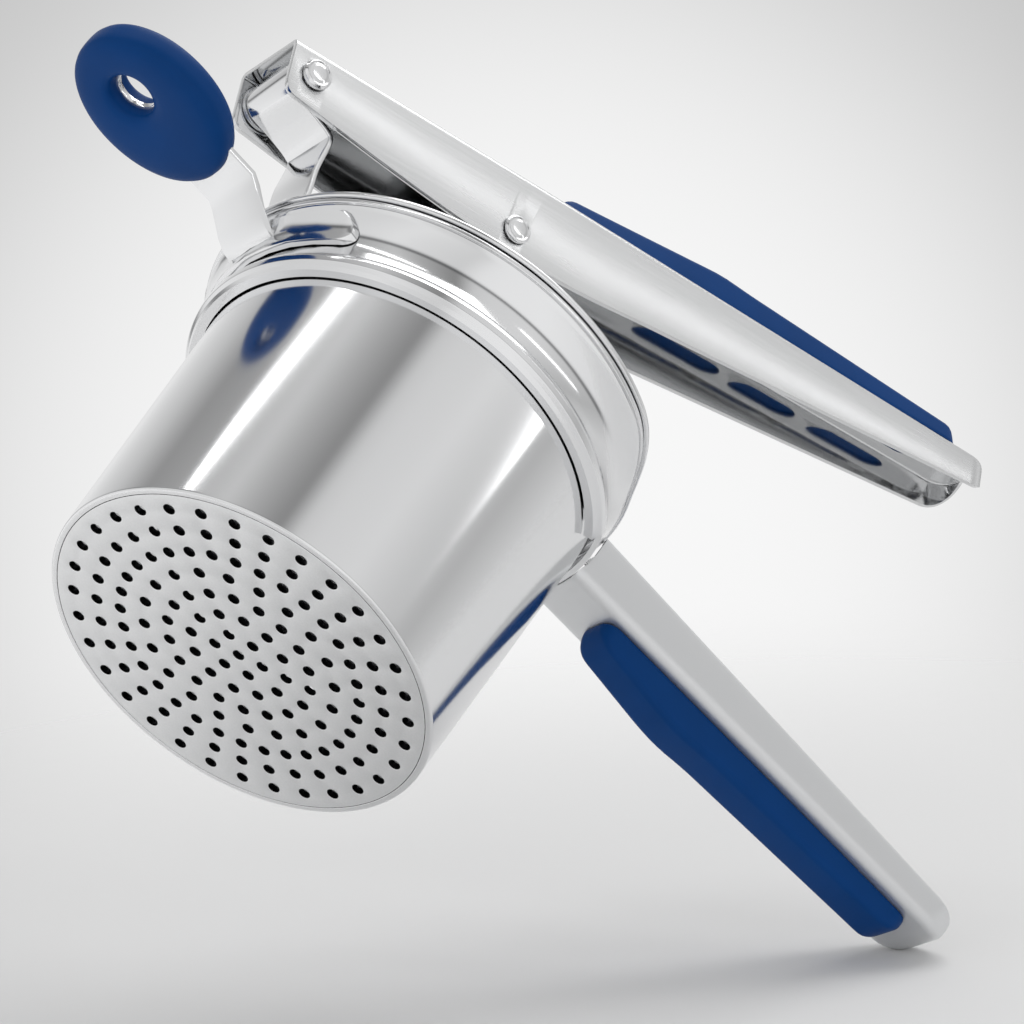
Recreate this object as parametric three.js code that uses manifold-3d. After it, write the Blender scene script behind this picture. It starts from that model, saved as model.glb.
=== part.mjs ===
// Potato ricer: a perforated basket in a flared ring, a lever with a press plate, and two grips.
// Millimetres. +Z is up the basket's axis, +X points along the handles, Y is along the hinge pins.
// The origin is on the level of the basket's underside, midway along the whole part.
import * as THREE from "three";
import { mergeVertices } from "three/addons/utils/BufferGeometryUtils.js";
import Module from "manifold-3d";

const wasm = await Module();
wasm.setup();

// ---- Driving dimensions -------------------------------------------------------------------

// Gaps
const TOUCH_GAP = 0.3;            // between pieces that bear on, or are welded to, each other
const PIN_CLEARANCE = 0.3;        // radial play round a pin
const PLATE_CLEARANCE = 2.7;      // press plate to basket wall, at the bottom
const BASKET_CLEARANCE = 0.5;     // basket wall to the ring round it
const WASHER_CLEARANCE = 0.1;     // hinge washers to the lever's top sheet
const OVERSHOOT = 5;              // how far a cutting solid runs on past what it cuts
const EDGE_EASE = 0.3;            // small chamfer on turned rims

// Basket
const BASKET_R = 42;              // outer radius at the bottom
const BASKET_H = 82.2;            // underside to top of rim
const BASKET_TAPER = 0.033;       // growth of radius per millimetre of height
const BASKET_WALL = 0.8;
const BASKET_CORNER_R = 1.3;
const BASKET_MOUTH_EASE = 0.5;    // the wall's inner edge leans back by this at the mouth
const LIP_WIDTH = 1.4;            // turned-in lip that carries the perforated base
const LIP_T = 0.6;
const RIM_WIDTH = 1.4;            // how far the rim stands out from the wall
const RIM_T = 1.1;

// Perforated base
const BASE_T = 1.6;
const BASE_EDGE_GAP = 0.25;       // extra gap to the wall, for the wall's inside corner
const HOLE_R = 1.25;
const HOLE_SIDES = 6;
const HOLE_MARGIN = 5.11;         // outermost ring of hole centres to the basket's outer radius
const HOLE_COUNTS = [1, 6, 12, 18, 20, 32, 32, 32];
const HOLE_PHASE = 26.5;          // degrees: every ring has a hole at this bearing

// Ring (the collar round the basket) and the flat ring on top of it
const COLLAR_T = 1.2;
const COLLAR_H = 16.9;            // lower edge to top
const FLARE_POWER = 2.6;          // how sharply the flare turns out
const BEAD_RISE = 2.8;            // lower edge to the middle of the rolled bead
const NECK_RISE = 7.1;            // lower edge to the neck, where the flare starts
const BEAD_OUT = 2.8;             // how far the bead stands out from the ring's bore
const FLANGE_OUT = 6.3;           // and the flange
const TOP_RING_T = 1.2;
const TOP_RING_OVERHANG = 0.6;    // past the collar's flange
const FLANGE_NARROWING = 4.5;     // both flanges draw in by this beside the lower handle
const SKIRT_GAP = 37;             // degrees either side where the collar's skirt stops for the handle
const NARROW_FROM = 64;           // degrees either side of the handle where that starts
const NARROW_TO = 30;             // and where it is complete

// Hinge
const HINGE_BEHIND = 11.3;        // hinge pin behind the flange
const HINGE_RISE = 29.1;          // and above the collar
const BUSH_WALL = 0.6;
const PIN_HEAD_R = 3.3;
const PIN_HEAD_H = 1.6;
const WASHER_T = 0.85;
const BRACKET_T = 1.3;
const BRACKET_FOOT = 3.6;         // length of the foot that lies on the top ring

// Lever
const LEVER_ANGLE = 21;           // degrees above level, as built
const LEVER_W = 20.5;
const LEVER_TAPER = 3.3;          // it narrows by this from the plunger pin to the tip
const LEVER_SHEET = 1.2;
const LEVER_LENGTH = 195;         // hinge pin to tip
const LEVER_HEEL = 5.9;           // hinge pin to the rear end
const LEVER_TOP = 6.5;            // hinge pin to the top face
const LEVER_HEEL_DEPTH = 13.6;    // depth of the side walls at the rear end
const LEVER_BELLY_DEPTH = 19.8;   // and at the plunger pin
const LEVER_TIP_DEPTH = 8;
const LEVER_TIP_FLAT = 1.6;       // half the straight part across the tip
const LEVER_HEEL_R = 3.5;
const WINDOW_W = 8.6;
const WINDOW_FLAT = 0.4;          // half the straight part across a window's end
const WINDOWS = [[88.5, 64.5], [60.5, 42], [37, 15.5]];  // start and end of each, from the tip

// Plunger
const CLOSED_SWING = 26;          // degrees the lever goes down from as built to closed
const PLUNGER_BACK = 7.9;         // plunger pin short of the basket's axis, along the lever
const PLUNGER_DROP = 7.6;         // and below the line of the hinge pin
const PLUNGER_PIN_R = 2.3;
const PLUNGER_HEAD_R = 3.2;
const PLUNGER_HEAD_H = 1.2;
const SPACER_WALL = 1.2;
const HEAD_FACE = 0.62;           // flat of a pin's head, as a share of the head's radius
const HEAD_EASE = 0.4;            // height of its chamfer, as a share of the head's height
const PLUNGER_TILT = 2.86;        // degrees the plunger leans as built; upright when closed
const PLATE_STANDOFF = 5;         // plate above the basket's underside when closed
const PLATE_BACK = 1.8;           // plate's centre behind the basket's axis when closed
const PLATE_T = 1.3;
const PLATE_RIM_H = 4;
const PLATE_CORNER = 1;           // chamfer at the rim's foot
const STEM_EYE_R = 6.4;
const STEM_EYE_W = 9;
const STEM_R = 4.2;
const STEM_FOOT_R = 9;
const STEM_FOOT_T = 3;
const STEM_FILLET = 1.2;          // height of the cone where the stem meets its foot
const PLATE_RIVET_R = 2.4;
const PLATE_RIVET_HEAD_R = 4.6;
const PLATE_RIVET_DEPTH = 7;
const PLATE_RIVET_HEAD_T = 1.3;

// Lower handle
const HANDLE_LENGTH = 113.5;      // flange to tip
const HANDLE_TOP_RISE = 2.1;      // top edges above the collar
const HANDLE_DEPTH = 10.8;        // top edges to the underside, at the ring
const HANDLE_TOP_W = 21.2;
const HANDLE_FLOOR_W = 15.4;
const HANDLE_RISE = 4.4;          // the underside rises by this towards the tip
const HANDLE_SHEET = 1.2;
const HANDLE_TIP_FLAT = 1.6;      // half the straight part across the tip
const HANDLE_INTO_RING = 8;       // how far it is drawn in past the bead before it is cut to fit

// Grips
const LOWER_GRIP_FROM = 7.5;      // flange to the grip's start
const LOWER_GRIP_SHORT = 10;      // its end short of the handle's tip
const LOWER_GRIP_HUMP_AT = 27;    // its start to the hump
const LOWER_GRIP_HUMP = 7.6;      // thickness at the hump
const LOWER_GRIP_END = 4.6;       // thickness at the ends
const LOWER_GRIP_W = 11;
const UPPER_GRIP_LENGTH = 117.5;
const UPPER_GRIP_SHORT = 10.5;    // its end short of the lever's tip
const UPPER_GRIP_HUMP_AT = 45;    // its start to the hump
const UPPER_GRIP_HUMP = 7.8;
const UPPER_GRIP_END = 4.6;
const UPPER_GRIP_W = 15;
const GRIP_CORNER_R = 3.4;

// Rest tab
const TAB_FOOT_DROP = 6.1;        // middle of the foot that wraps the neck, below the collar's top
const TAB_FOOT_H = 6;
const TAB_FOOT_HALF = 26.5;        // sideways reach of the foot
const TAB_T = 1.5;
const TAB_NECK_W = 15;
const TAB_RISE = 1.1;             // middle of the outer part above the collar's top
const TAB_BEHIND = 30.8;          // centre of the outer part behind the flange
const TAB_LENGTH = 36.8;
const TAB_WIDTH = 31.2;
const TAB_THICKNESS = 8.4;
const TAB_SKIN = 3.4;             // rubber round the steel's edge
const TAB_HOLE_R = 5;
const TAB_HOLE_BEHIND = 4.7;      // hole behind the tab's centre
const TAB_EDGE_R = 2.8;
const TAB_BORE_EASE = 0.4;        // steel's hole smaller than the sleeve's
const TAB_TONGUE_OVERLAP = 6;     // tongue into the outer part

// Facets
const ROUND = 48;                 // sides of the large turned pieces
const SMALL_ROUND = 20;           // sides of the pins

// ---- Sizes that follow from those ---------------------------------------------------------

const rad = THREE.MathUtils.degToRad;
const basketOuter = (z) => BASKET_R + BASKET_TAPER * z;
const rimUnder = BASKET_H - RIM_T;
const rimR = basketOuter(BASKET_H) + RIM_WIDTH;
const topRingTop = rimUnder - TOUCH_GAP;
const topRingUnder = topRingTop - TOP_RING_T;

const holeRingStep = (BASKET_R - HOLE_MARGIN) / (HOLE_COUNTS.length - 1);

const ringInner = basketOuter(BASKET_H) + BASKET_CLEARANCE;
const neckR = ringInner + COLLAR_T;
const beadR = ringInner + BEAD_OUT;
const flangeR = ringInner + FLANGE_OUT;
const collarTop = topRingUnder - TOUCH_GAP;
const collarFoot = collarTop - COLLAR_H;
const beadZ = collarFoot + BEAD_RISE;
const neckZ = collarFoot + NECK_RISE;

const hingeX = -(flangeR + HINGE_BEHIND);
const hingeZ = collarTop + HINGE_RISE;
const eyeOuter = LEVER_TOP - LEVER_SHEET - TOUCH_GAP;
const eyeInner = eyeOuter - BRACKET_T;
const bushR = eyeInner - TOUCH_GAP;
const hingePinR = bushR - BUSH_WALL - PIN_CLEARANCE;
const washerR = LEVER_TOP - LEVER_SHEET - WASHER_CLEARANCE;
const washerOut = LEVER_W / 2 - LEVER_SHEET - TOUCH_GAP;
const bracketW = 2 * (washerOut - WASHER_T - TOUCH_GAP);
const leverTipW = LEVER_W - LEVER_TAPER;
const leverTipR = leverTipW / 2 - LEVER_TIP_FLAT;
const windowR = WINDOW_W / 2 - WINDOW_FLAT;

const plungerAt = -hingeX - PLUNGER_BACK;
const closedAngle = rad(LEVER_ANGLE - CLOSED_SWING);
const closedPinX = hingeX + plungerAt * Math.cos(closedAngle) + PLUNGER_DROP * Math.sin(closedAngle);
const closedPinZ = hingeZ + plungerAt * Math.sin(closedAngle) - PLUNGER_DROP * Math.cos(closedAngle);
const plungerLength = closedPinZ - PLATE_STANDOFF;
const plateOffset = -closedPinX - PLATE_BACK;
const plateR = basketOuter(0) - BASKET_WALL - PLATE_CLEARANCE;

const handleTip = flangeR + HANDLE_LENGTH;
const handleTipR = HANDLE_TOP_W / 2 - HANDLE_TIP_FLAT;
const handleTop = collarTop + HANDLE_TOP_RISE;
const handleFoot = handleTop - HANDLE_DEPTH;
const handleFloor = (x) => handleFoot + HANDLE_RISE * (x - beadR) / (handleTip - beadR);
const lowerGripStart = flangeR + LOWER_GRIP_FROM;
const lowerGripEnd = handleTip - LOWER_GRIP_SHORT;
const lowerHump = lowerGripStart + LOWER_GRIP_HUMP_AT;
const upperGripEnd = LEVER_LENGTH - UPPER_GRIP_SHORT;
const upperGripStart = upperGripEnd - UPPER_GRIP_LENGTH;
const upperHump = upperGripStart + UPPER_GRIP_HUMP_AT;

const tabFootZ = collarTop - TAB_FOOT_DROP;
const tabZ = collarTop + TAB_RISE;
const tabX = -(flangeR + TAB_BEHIND);
const tabHoleX = tabX - TAB_HOLE_BEHIND;

// ---- Materials ----------------------------------------------------------------------------

const finish = (color, roughness, metalness) =>
  new THREE.MeshStandardMaterial({ color, roughness, metalness });
const polishedSteel = finish(0xd4d5d7, 0.12, 1);
const satinSteel = finish(0xc4c6c8, 0.3, 1);
const blueRubber = finish(0x103e73, 0.5, 0);

// ---- Helpers ------------------------------------------------------------------------------

/** Turns a three.js geometry into a manifold-3d solid, without its zero-area triangles. */
function toSolid(geometry) {
  const bare = geometry.clone();
  bare.deleteAttribute("normal");
  bare.deleteAttribute("uv");
  const merged = mergeVertices(bare, 1e-5);
  const index = Array.from(merged.index.array);
  const triangles = [];
  for (let i = 0; i < index.length; i += 3) {
    const [a, b, c] = index.slice(i, i + 3);
    if (a !== b && b !== c && c !== a) triangles.push(a, b, c);
  }
  return new wasm.Manifold(new wasm.Mesh({
    numProp: 3,
    vertProperties: new Float32Array(merged.attributes.position.array),
    triVerts: new Uint32Array(triangles),
  }));
}

/** Turns a manifold-3d solid back into a three.js geometry. */
function toGeometry(solid) {
  const mesh = solid.getMesh();
  const geometry = new THREE.BufferGeometry();
  geometry.setAttribute("position", new THREE.BufferAttribute(mesh.vertProperties, 3));
  geometry.setIndex(new THREE.BufferAttribute(mesh.triVerts, 1));
  geometry.computeVertexNormals();
  return geometry;
}

/** Turns a closed outline of [radius, height] points about the Z axis. */
function turned(points, sides = ROUND) {
  const outline = points.map(([r, z]) => new THREE.Vector2(r, z));
  outline.push(outline[0].clone());
  return toSolid(new THREE.LatheGeometry(outline, sides).rotateX(Math.PI / 2));
}

/** Extrudes a shape drawn in X and Y from one height to another. */
function slab(shape, z0, z1, curveSegments = 12) {
  const options = { depth: z1 - z0, bevelEnabled: false, curveSegments };
  return toSolid(new THREE.ExtrudeGeometry(shape, options).translate(0, 0, z0));
}

/** Extrudes a shape drawn in X and Z to a width centred on Y = 0. */
function profile(shape, width, curveSegments = 12) {
  const options = { depth: width, bevelEnabled: false, curveSegments };
  const geometry = new THREE.ExtrudeGeometry(shape, options);
  return toSolid(geometry.rotateX(Math.PI / 2).translate(0, width / 2, 0));
}

/** A disc or a bar along Y, between two values of y, at a place in X and Z. */
function crossBar(radius, y0, y1, x = 0, z = 0, sides = SMALL_ROUND) {
  const geometry = new THREE.CylinderGeometry(radius, radius, y1 - y0, sides);
  return toSolid(geometry.translate(x, (y0 + y1) / 2, z));
}

/** A polygon from a list of [x, y] points. */
function polygon(points) {
  return new THREE.Shape(points.map(([x, y]) => new THREE.Vector2(x, y)));
}

/** A rectangle in plan from x0 to x1, with both corners at x1 rounded (and at x0 if asked). */
function strip(x0, x1, halfWidth, endRadius, startRadius = 0) {
  const shape = new THREE.Shape();
  shape.moveTo(x0 + startRadius, -halfWidth);
  shape.lineTo(x1 - endRadius, -halfWidth);
  shape.absarc(x1 - endRadius, -halfWidth + endRadius, endRadius, -Math.PI / 2, 0, false);
  shape.absarc(x1 - endRadius, halfWidth - endRadius, endRadius, 0, Math.PI / 2, false);
  shape.lineTo(x0 + startRadius, halfWidth);
  if (startRadius > 0) {
    shape.absarc(x0 + startRadius, halfWidth - startRadius, startRadius, Math.PI / 2, Math.PI, false);
    shape.absarc(x0 + startRadius, startRadius - halfWidth, startRadius, Math.PI, Math.PI * 1.5, false);
  }
  shape.closePath();
  return shape;
}

/** A band of even thickness along a line of [x, z] points, as a closed outline. */
function bandOutline(path, thickness) {
  const points = path.map(([x, z]) => new THREE.Vector2(x, z));
  const left = [];
  const right = [];
  points.forEach((point, i) => {
    const before = points[Math.max(i - 1, 0)];
    const after = points[Math.min(i + 1, points.length - 1)];
    const inward = point.clone().sub(before).normalize();
    const outward = after.clone().sub(point).normalize();
    const tangent = inward.clone().add(outward).normalize();
    const turn = i > 0 && i < points.length - 1 ? tangent.dot(inward) : 1;
    const normal = new THREE.Vector2(-tangent.y, tangent.x).multiplyScalar(thickness / 2 / turn);
    left.push(point.clone().add(normal));
    right.unshift(point.clone().sub(normal));
  });
  return new THREE.Shape([...left, ...right]);
}

/** Points along an arc, from one angle in degrees to another. */
function arc(x, z, radius, from, to, steps) {
  const points = [];
  for (let i = 0; i <= steps; i += 1) {
    const angle = rad(from + (to - from) * i / steps);
    points.push([x + radius * Math.cos(angle), z + radius * Math.sin(angle)]);
  }
  return points;
}

/** Outline of a flange seen from above, drawn in beside the lower handle. */
function flangeOutline(radius) {
  const points = [];
  for (let i = 0; i < 2 * ROUND; i += 1) {
    const angle = 2 * Math.PI * i / (2 * ROUND);
    const bearing = Math.abs(Math.atan2(Math.sin(angle), Math.cos(angle)));
    const near = 1 - THREE.MathUtils.smoothstep(bearing, rad(NARROW_TO), rad(NARROW_FROM));
    const r = radius - FLANGE_NARROWING * near;
    points.push([r * Math.cos(angle), r * Math.sin(angle)]);
  }
  return polygon(points);
}

/** The collar's outer face from its foot to its flange, moved outward by an offset. */
function collarFace(offset) {
  const flareZ = collarTop - neckZ;
  const flareR = flangeR - neckR;
  const face = [
    [beadR - 1.6, collarFoot],
    [beadR - 1.1, collarFoot + 1],
    [beadR - 0.25, beadZ - 0.9],
    [beadR, beadZ],
    [beadR - 0.3, beadZ + 1],
    [neckR + 0.45, beadZ + 2.1],
    [neckR, neckZ],
  ];
  for (const share of [0.3, 0.52, 0.7, 0.84, 0.95]) {
    face.push([neckR + flareR * share ** FLARE_POWER, neckZ + (flareZ - COLLAR_T) * share]);
  }
  face.push([flangeR, collarTop - COLLAR_T + EDGE_EASE]);
  return face.map(([r, z]) => [r + offset, z]);
}

/** Puts a solid in a named mesh. */
function piece(name, solid, material) {
  const mesh = new THREE.Mesh(toGeometry(solid), material);
  mesh.name = name;
  return mesh;
}

// ---- Basket -------------------------------------------------------------------------------

function basketShell() {
  const wall = BASKET_WALL;
  const top = basketOuter(rimUnder);
  return turned([
    [BASKET_R - LIP_WIDTH, 0],
    ...arc(BASKET_R - BASKET_CORNER_R, BASKET_CORNER_R, BASKET_CORNER_R, -90, 0, 4),
    [top, rimUnder],
    [rimR - EDGE_EASE, rimUnder],
    [rimR, rimUnder + EDGE_EASE],
    [rimR, BASKET_H - EDGE_EASE],
    [rimR - EDGE_EASE, BASKET_H],
    [top - wall + BASKET_MOUTH_EASE, BASKET_H],
    [top - wall, BASKET_H - 3 * EDGE_EASE],
    [basketOuter(BASKET_CORNER_R) - wall, BASKET_CORNER_R],
    [BASKET_R - wall - BASE_EDGE_GAP, LIP_T],
    [BASKET_R - LIP_WIDTH, LIP_T],
  ]);
}

/** Centres of the holes, ring by ring. */
function holeCentres() {
  const centres = [];
  HOLE_COUNTS.forEach((count, ring) => {
    for (let i = 0; i < count; i += 1) {
      const angle = rad(HOLE_PHASE) + 2 * Math.PI * i / count;
      const radius = ring * holeRingStep;
      centres.push([radius * Math.cos(angle), radius * Math.sin(angle)]);
    }
  });
  return centres;
}

function perforatedBase() {
  const lowerR = BASKET_R - LIP_WIDTH - TOUCH_GAP;
  const upperR = BASKET_R - BASKET_WALL - TOUCH_GAP - BASE_EDGE_GAP;
  const step = LIP_T + TOUCH_GAP;
  const disc = polygon(arc(0, 0, lowerR, 0, 360, ROUND).slice(1));
  for (const [x, y] of holeCentres()) {
    disc.holes.push(polygon(arc(x, y, HOLE_R, 0, 360, HOLE_SIDES).slice(1)));
  }
  const plate = slab(disc, 0, BASE_T);
  const inside = lowerR - TOUCH_GAP;
  const shoulder = turned([[inside, step], [upperR, step], [upperR, BASE_T], [inside, BASE_T]]);
  return plate.add(shoulder);
}

// ---- Ring and lower handle ----------------------------------------------------------------

function frameRing() {
  const outer = collarFace(0);
  const inner = [];
  const flareTop = outer.length - 1;
  for (let i = flareTop - 1; i > 6; i -= 1) {
    inner.push([outer[i][0] - COLLAR_T * 0.9, outer[i][1] + COLLAR_T * 0.55]);
  }
  const ring = turned([
    [ringInner - 0.2, collarFoot + 0.2],
    ...outer,
    [flangeR - EDGE_EASE, collarTop],
    [flangeR - 1.4, collarTop],
    ...inner,
    [ringInner, neckZ],
    [beadR - 1.5, beadZ + 0.7],
    [beadR - 1.5, beadZ - 0.5],
    [ringInner, collarFoot + 1.4],
  ]);
  const surround = new THREE.Shape().absarc(0, 0, flangeR + OVERSHOOT, 0, 2 * Math.PI, false);
  surround.holes.push(flangeOutline(flangeR + 0.01));
  const wedge = polygon([[0, 0], ...arc(0, 0, 2 * flangeR, -SKIRT_GAP, SKIRT_GAP, 2)]);
  const skirtGap = slab(wedge, collarFoot - OVERSHOOT, handleFoot - TOUCH_GAP);
  return ring.subtract(slab(surround, neckZ, collarTop + OVERSHOOT)).subtract(skirtGap);
}

function topRing() {
  const shape = flangeOutline(flangeR + TOP_RING_OVERHANG);
  const above = BASKET_H + OVERSHOOT;
  const bore = turned([[0, 0], [ringInner, 0], [ringInner, above], [0, above]]);
  return slab(shape, topRingUnder, topRingTop).subtract(bore);
}

/** The space the collar and both flanges fill, plus the touching gap, as one solid. */
function ringEnvelope() {
  const face = collarFace(TOUCH_GAP);
  const flange = flangeR + TOP_RING_OVERHANG - FLANGE_NARROWING + TOUCH_GAP;
  const rows = face.map(([r, z]) => [Math.min(r, flange), z]);
  const low = collarFoot - 2 * OVERSHOOT;
  const high = BASKET_H + 2 * OVERSHOOT;
  return turned([[0, low], [beadR + TOUCH_GAP, low], ...rows, [flange, high], [0, high]]);
}

/** Outline of the lower handle from the side, with the floor raised by an inset. */
function handleSide(inset) {
  const start = beadR - HANDLE_INTO_RING;
  const tip = handleTip - inset;
  const corner = handleTipR - inset;
  const top = handleTop + (inset > 0 ? OVERSHOOT : 0);
  const shape = new THREE.Shape();
  shape.moveTo(start, handleFloor(start) + inset);
  shape.lineTo(tip - corner, handleFloor(tip - corner) + inset);
  shape.quadraticCurveTo(tip - 1, handleFloor(tip) + inset, tip, top);
  shape.lineTo(start, top);
  shape.closePath();
  return shape;
}

/** Cross-section of the lower handle in Y and Z, narrowed by an inset, as an X-long bar. */
function handleSection(inset) {
  const rise = handleTop - handleFoot;
  const draft = (HANDLE_TOP_W - HANDLE_FLOOR_W) / 2 / rise;
  const half = (z) => HANDLE_FLOOR_W / 2 - inset + draft * (z - handleFoot);
  const low = handleFoot - OVERSHOOT;
  const high = handleTop + OVERSHOOT;
  const shape = polygon([[-half(low), low], [half(low), low], [half(high), high], [-half(high), high]]);
  const options = { depth: handleTip + OVERSHOOT, bevelEnabled: false };
  const bar = new THREE.ExtrudeGeometry(shape, options);
  return toSolid(bar.rotateX(Math.PI / 2).rotateZ(Math.PI / 2));
}

/** The lower handle's outer body, or its hollow when an inset is given. */
function handleBody(inset) {
  const start = beadR - HANDLE_INTO_RING;
  const plan = strip(start, handleTip - inset, HANDLE_TOP_W / 2, handleTipR - inset);
  const planBar = slab(plan, handleFoot - OVERSHOOT, handleTop + 2 * OVERSHOOT, 8);
  const side = profile(handleSide(inset), HANDLE_TOP_W + OVERSHOOT, 8);
  return side.intersect(handleSection(inset)).intersect(planBar);
}

function lowerHandle() {
  return handleBody(0).subtract(handleBody(HANDLE_SHEET)).subtract(ringEnvelope());
}

function lowerGrip() {
  const [x0, x1] = [lowerGripStart, lowerGripEnd];
  const top = (x) => handleFloor(x) - TOUCH_GAP;
  const shape = new THREE.Shape();
  shape.moveTo(x0, top(x0));
  shape.quadraticCurveTo(x0, top(x0) - LOWER_GRIP_END, x0 + 6, top(x0) - LOWER_GRIP_END - 1);
  shape.lineTo(lowerHump - 5, top(lowerHump) - LOWER_GRIP_HUMP + 0.6);
  shape.quadraticCurveTo(lowerHump, top(lowerHump) - LOWER_GRIP_HUMP - 0.3,
    lowerHump + 8, top(lowerHump) - LOWER_GRIP_HUMP + 0.8);
  shape.lineTo(x1 - 7, top(x1) - LOWER_GRIP_END);
  shape.quadraticCurveTo(x1, top(x1) - LOWER_GRIP_END, x1, top(x1));
  shape.closePath();
  const plan = strip(x0, x1, LOWER_GRIP_W / 2, GRIP_CORNER_R, GRIP_CORNER_R);
  const low = handleFoot - LOWER_GRIP_HUMP - OVERSHOOT;
  return profile(shape, LOWER_GRIP_W + OVERSHOOT, 6).intersect(slab(plan, low, handleTop, 6));
}

// ---- Hinge bracket and rest tab -----------------------------------------------------------

/** Centre line of the bracket: foot on the top ring, S bend, and the eye round the bush. */
function bracketPath() {
  const eyeR = eyeInner + BRACKET_T / 2;
  const footZ = topRingTop + TOUCH_GAP + BRACKET_T / 2;
  const footX = -(rimR + TOUCH_GAP + BRACKET_T / 2) - 0.3;
  const eyeZ = hingeZ - eyeR;
  return [
    [footX - BRACKET_FOOT, footZ],
    [footX - 1, footZ],
    [footX - 0.3, footZ + 0.4],
    [footX, footZ + 1.2],
    [footX - 0.9, footZ + 7],
    [footX - 2.6, footZ + 12.5],
    [footX - 3.8, eyeZ - 2.4],
    [footX - 5.4, eyeZ - 0.8],
    [hingeX + 5, eyeZ - 0.15],
    ...arc(hingeX, hingeZ, eyeR, -90, -375, 20),
  ];
}

function hingeBracket() {
  return profile(bandOutline(bracketPath(), BRACKET_T), bracketW);
}

/** A band that follows the collar's neck, cut to a rounded strip round the back. */
function tabFoot() {
  const bearing = collarFace(TOUCH_GAP).slice(5).reverse();
  const outside = collarFace(TOUCH_GAP + TAB_T).slice(5);
  const band = turned([...outside, ...bearing].filter(([, z]) => z < collarTop - 1));
  const half = TAB_FOOT_H / 2;
  const window = new THREE.Shape();
  window.absarc(TAB_FOOT_HALF - half, tabFootZ, half, -Math.PI / 2, Math.PI / 2, false);
  window.absarc(half - TAB_FOOT_HALF, tabFootZ, half, Math.PI / 2, Math.PI * 1.5, false);
  const depth = flangeR + OVERSHOOT;
  const options = { depth, bevelEnabled: false, curveSegments: 6 };
  const cutter = new THREE.ExtrudeGeometry(window, options).rotateX(Math.PI / 2).rotateZ(Math.PI / 2);
  return band.intersect(toSolid(cutter.translate(-depth, 0, 0)));
}

/** An ellipse in plan, with its ends on the X axis. */
function oval(centreX, length, width) {
  return new THREE.Shape().absellipse(centreX, 0, length / 2, width / 2, 0, 2 * Math.PI, false, 0);
}

function restTab() {
  const neckX = -neckR - TOUCH_GAP - TAB_T / 2;
  const path = [
    [neckX - 0.8, tabFootZ + 0.1],
    [neckX - 3, tabFootZ + 0.6],
    [neckX - 5.4, tabFootZ + 2],
    [neckX - 9.8, tabZ - 1.4],
    [neckX - 12, tabZ],
    [tabX + TAB_TONGUE_OVERLAP, tabZ],
  ];
  const tongue = profile(bandOutline(path, TAB_T), TAB_NECK_W);
  const bore = crossPost(TAB_HOLE_R - TAB_BORE_EASE, tabHoleX, tabZ - OVERSHOOT, tabZ + OVERSHOOT);
  const core = slab(oval(tabX, TAB_LENGTH - 2 * TAB_SKIN, TAB_WIDTH - 2 * TAB_SKIN),
    tabZ - TAB_T / 2, tabZ + TAB_T / 2, 16);
  return tabFoot().add(tongue).add(core).subtract(bore);
}

/** An upright post at a place on the X axis. */
function crossPost(radius, x, z0, z1) {
  const shape = new THREE.Shape().absarc(x, 0, radius, 0, 2 * Math.PI, false);
  return slab(shape, z0, z1, SMALL_ROUND / 2);
}

function tabSleeve() {
  const bevel = TAB_EDGE_R;
  const outline = oval(tabX, TAB_LENGTH - 2 * bevel, TAB_WIDTH - 2 * bevel);
  const options = {
    depth: TAB_THICKNESS - 2 * bevel, bevelEnabled: true, bevelSize: bevel,
    bevelThickness: bevel, bevelSegments: 3, curveSegments: 16,
  };
  const skin = new THREE.ExtrudeGeometry(outline, options);
  const body = toSolid(skin.translate(0, 0, tabZ - TAB_THICKNESS / 2 + bevel));
  const low = tabZ - TAB_T / 2 - TOUCH_GAP;
  const high = tabZ + TAB_T / 2 + TOUCH_GAP;
  const coreLength = TAB_LENGTH - 2 * TAB_SKIN + 2 * TOUCH_GAP;
  const coreWidth = TAB_WIDTH - 2 * TAB_SKIN + 2 * TOUCH_GAP;
  const pocket = slab(oval(tabX, coreLength, coreWidth), low, high, 16);
  const mouth = TAB_NECK_W / 2 + TOUCH_GAP;
  const past = tabX + TAB_LENGTH / 2 + OVERSHOOT;
  const slotPlan = polygon([[tabX, -mouth], [past, -mouth], [past, mouth], [tabX, mouth]]);
  const slot = slab(slotPlan, low, high);
  const bore = crossPost(TAB_HOLE_R, tabHoleX, tabZ - TAB_THICKNESS, tabZ + TAB_THICKNESS);
  return body.subtract(pocket).subtract(slot).subtract(bore);
}

// ---- Lever and what is on it (hinge pin at the origin, lever along X) -----------------------

/** Outline of the lever from the side. */
function leverSide() {
  const rear = -LEVER_HEEL;
  const heel = LEVER_TOP - LEVER_HEEL_DEPTH;
  const belly = LEVER_TOP - LEVER_BELLY_DEPTH;
  const tip = LEVER_TOP - LEVER_TIP_DEPTH;
  const shape = new THREE.Shape();
  shape.moveTo(rear, LEVER_TOP);
  shape.lineTo(rear, heel + LEVER_HEEL_R);
  shape.quadraticCurveTo(rear, heel, rear + LEVER_HEEL_R, heel);
  shape.quadraticCurveTo(plungerAt - 18, belly + 0.6, plungerAt + 2, belly);
  shape.quadraticCurveTo(plungerAt + 16, belly - 0.2, plungerAt + 34, belly + 2.1);
  shape.lineTo(LEVER_LENGTH - leverTipR, tip);
  shape.quadraticCurveTo(LEVER_LENGTH, tip + 0.5, LEVER_LENGTH, LEVER_TOP);
  shape.closePath();
  return shape;
}

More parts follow.
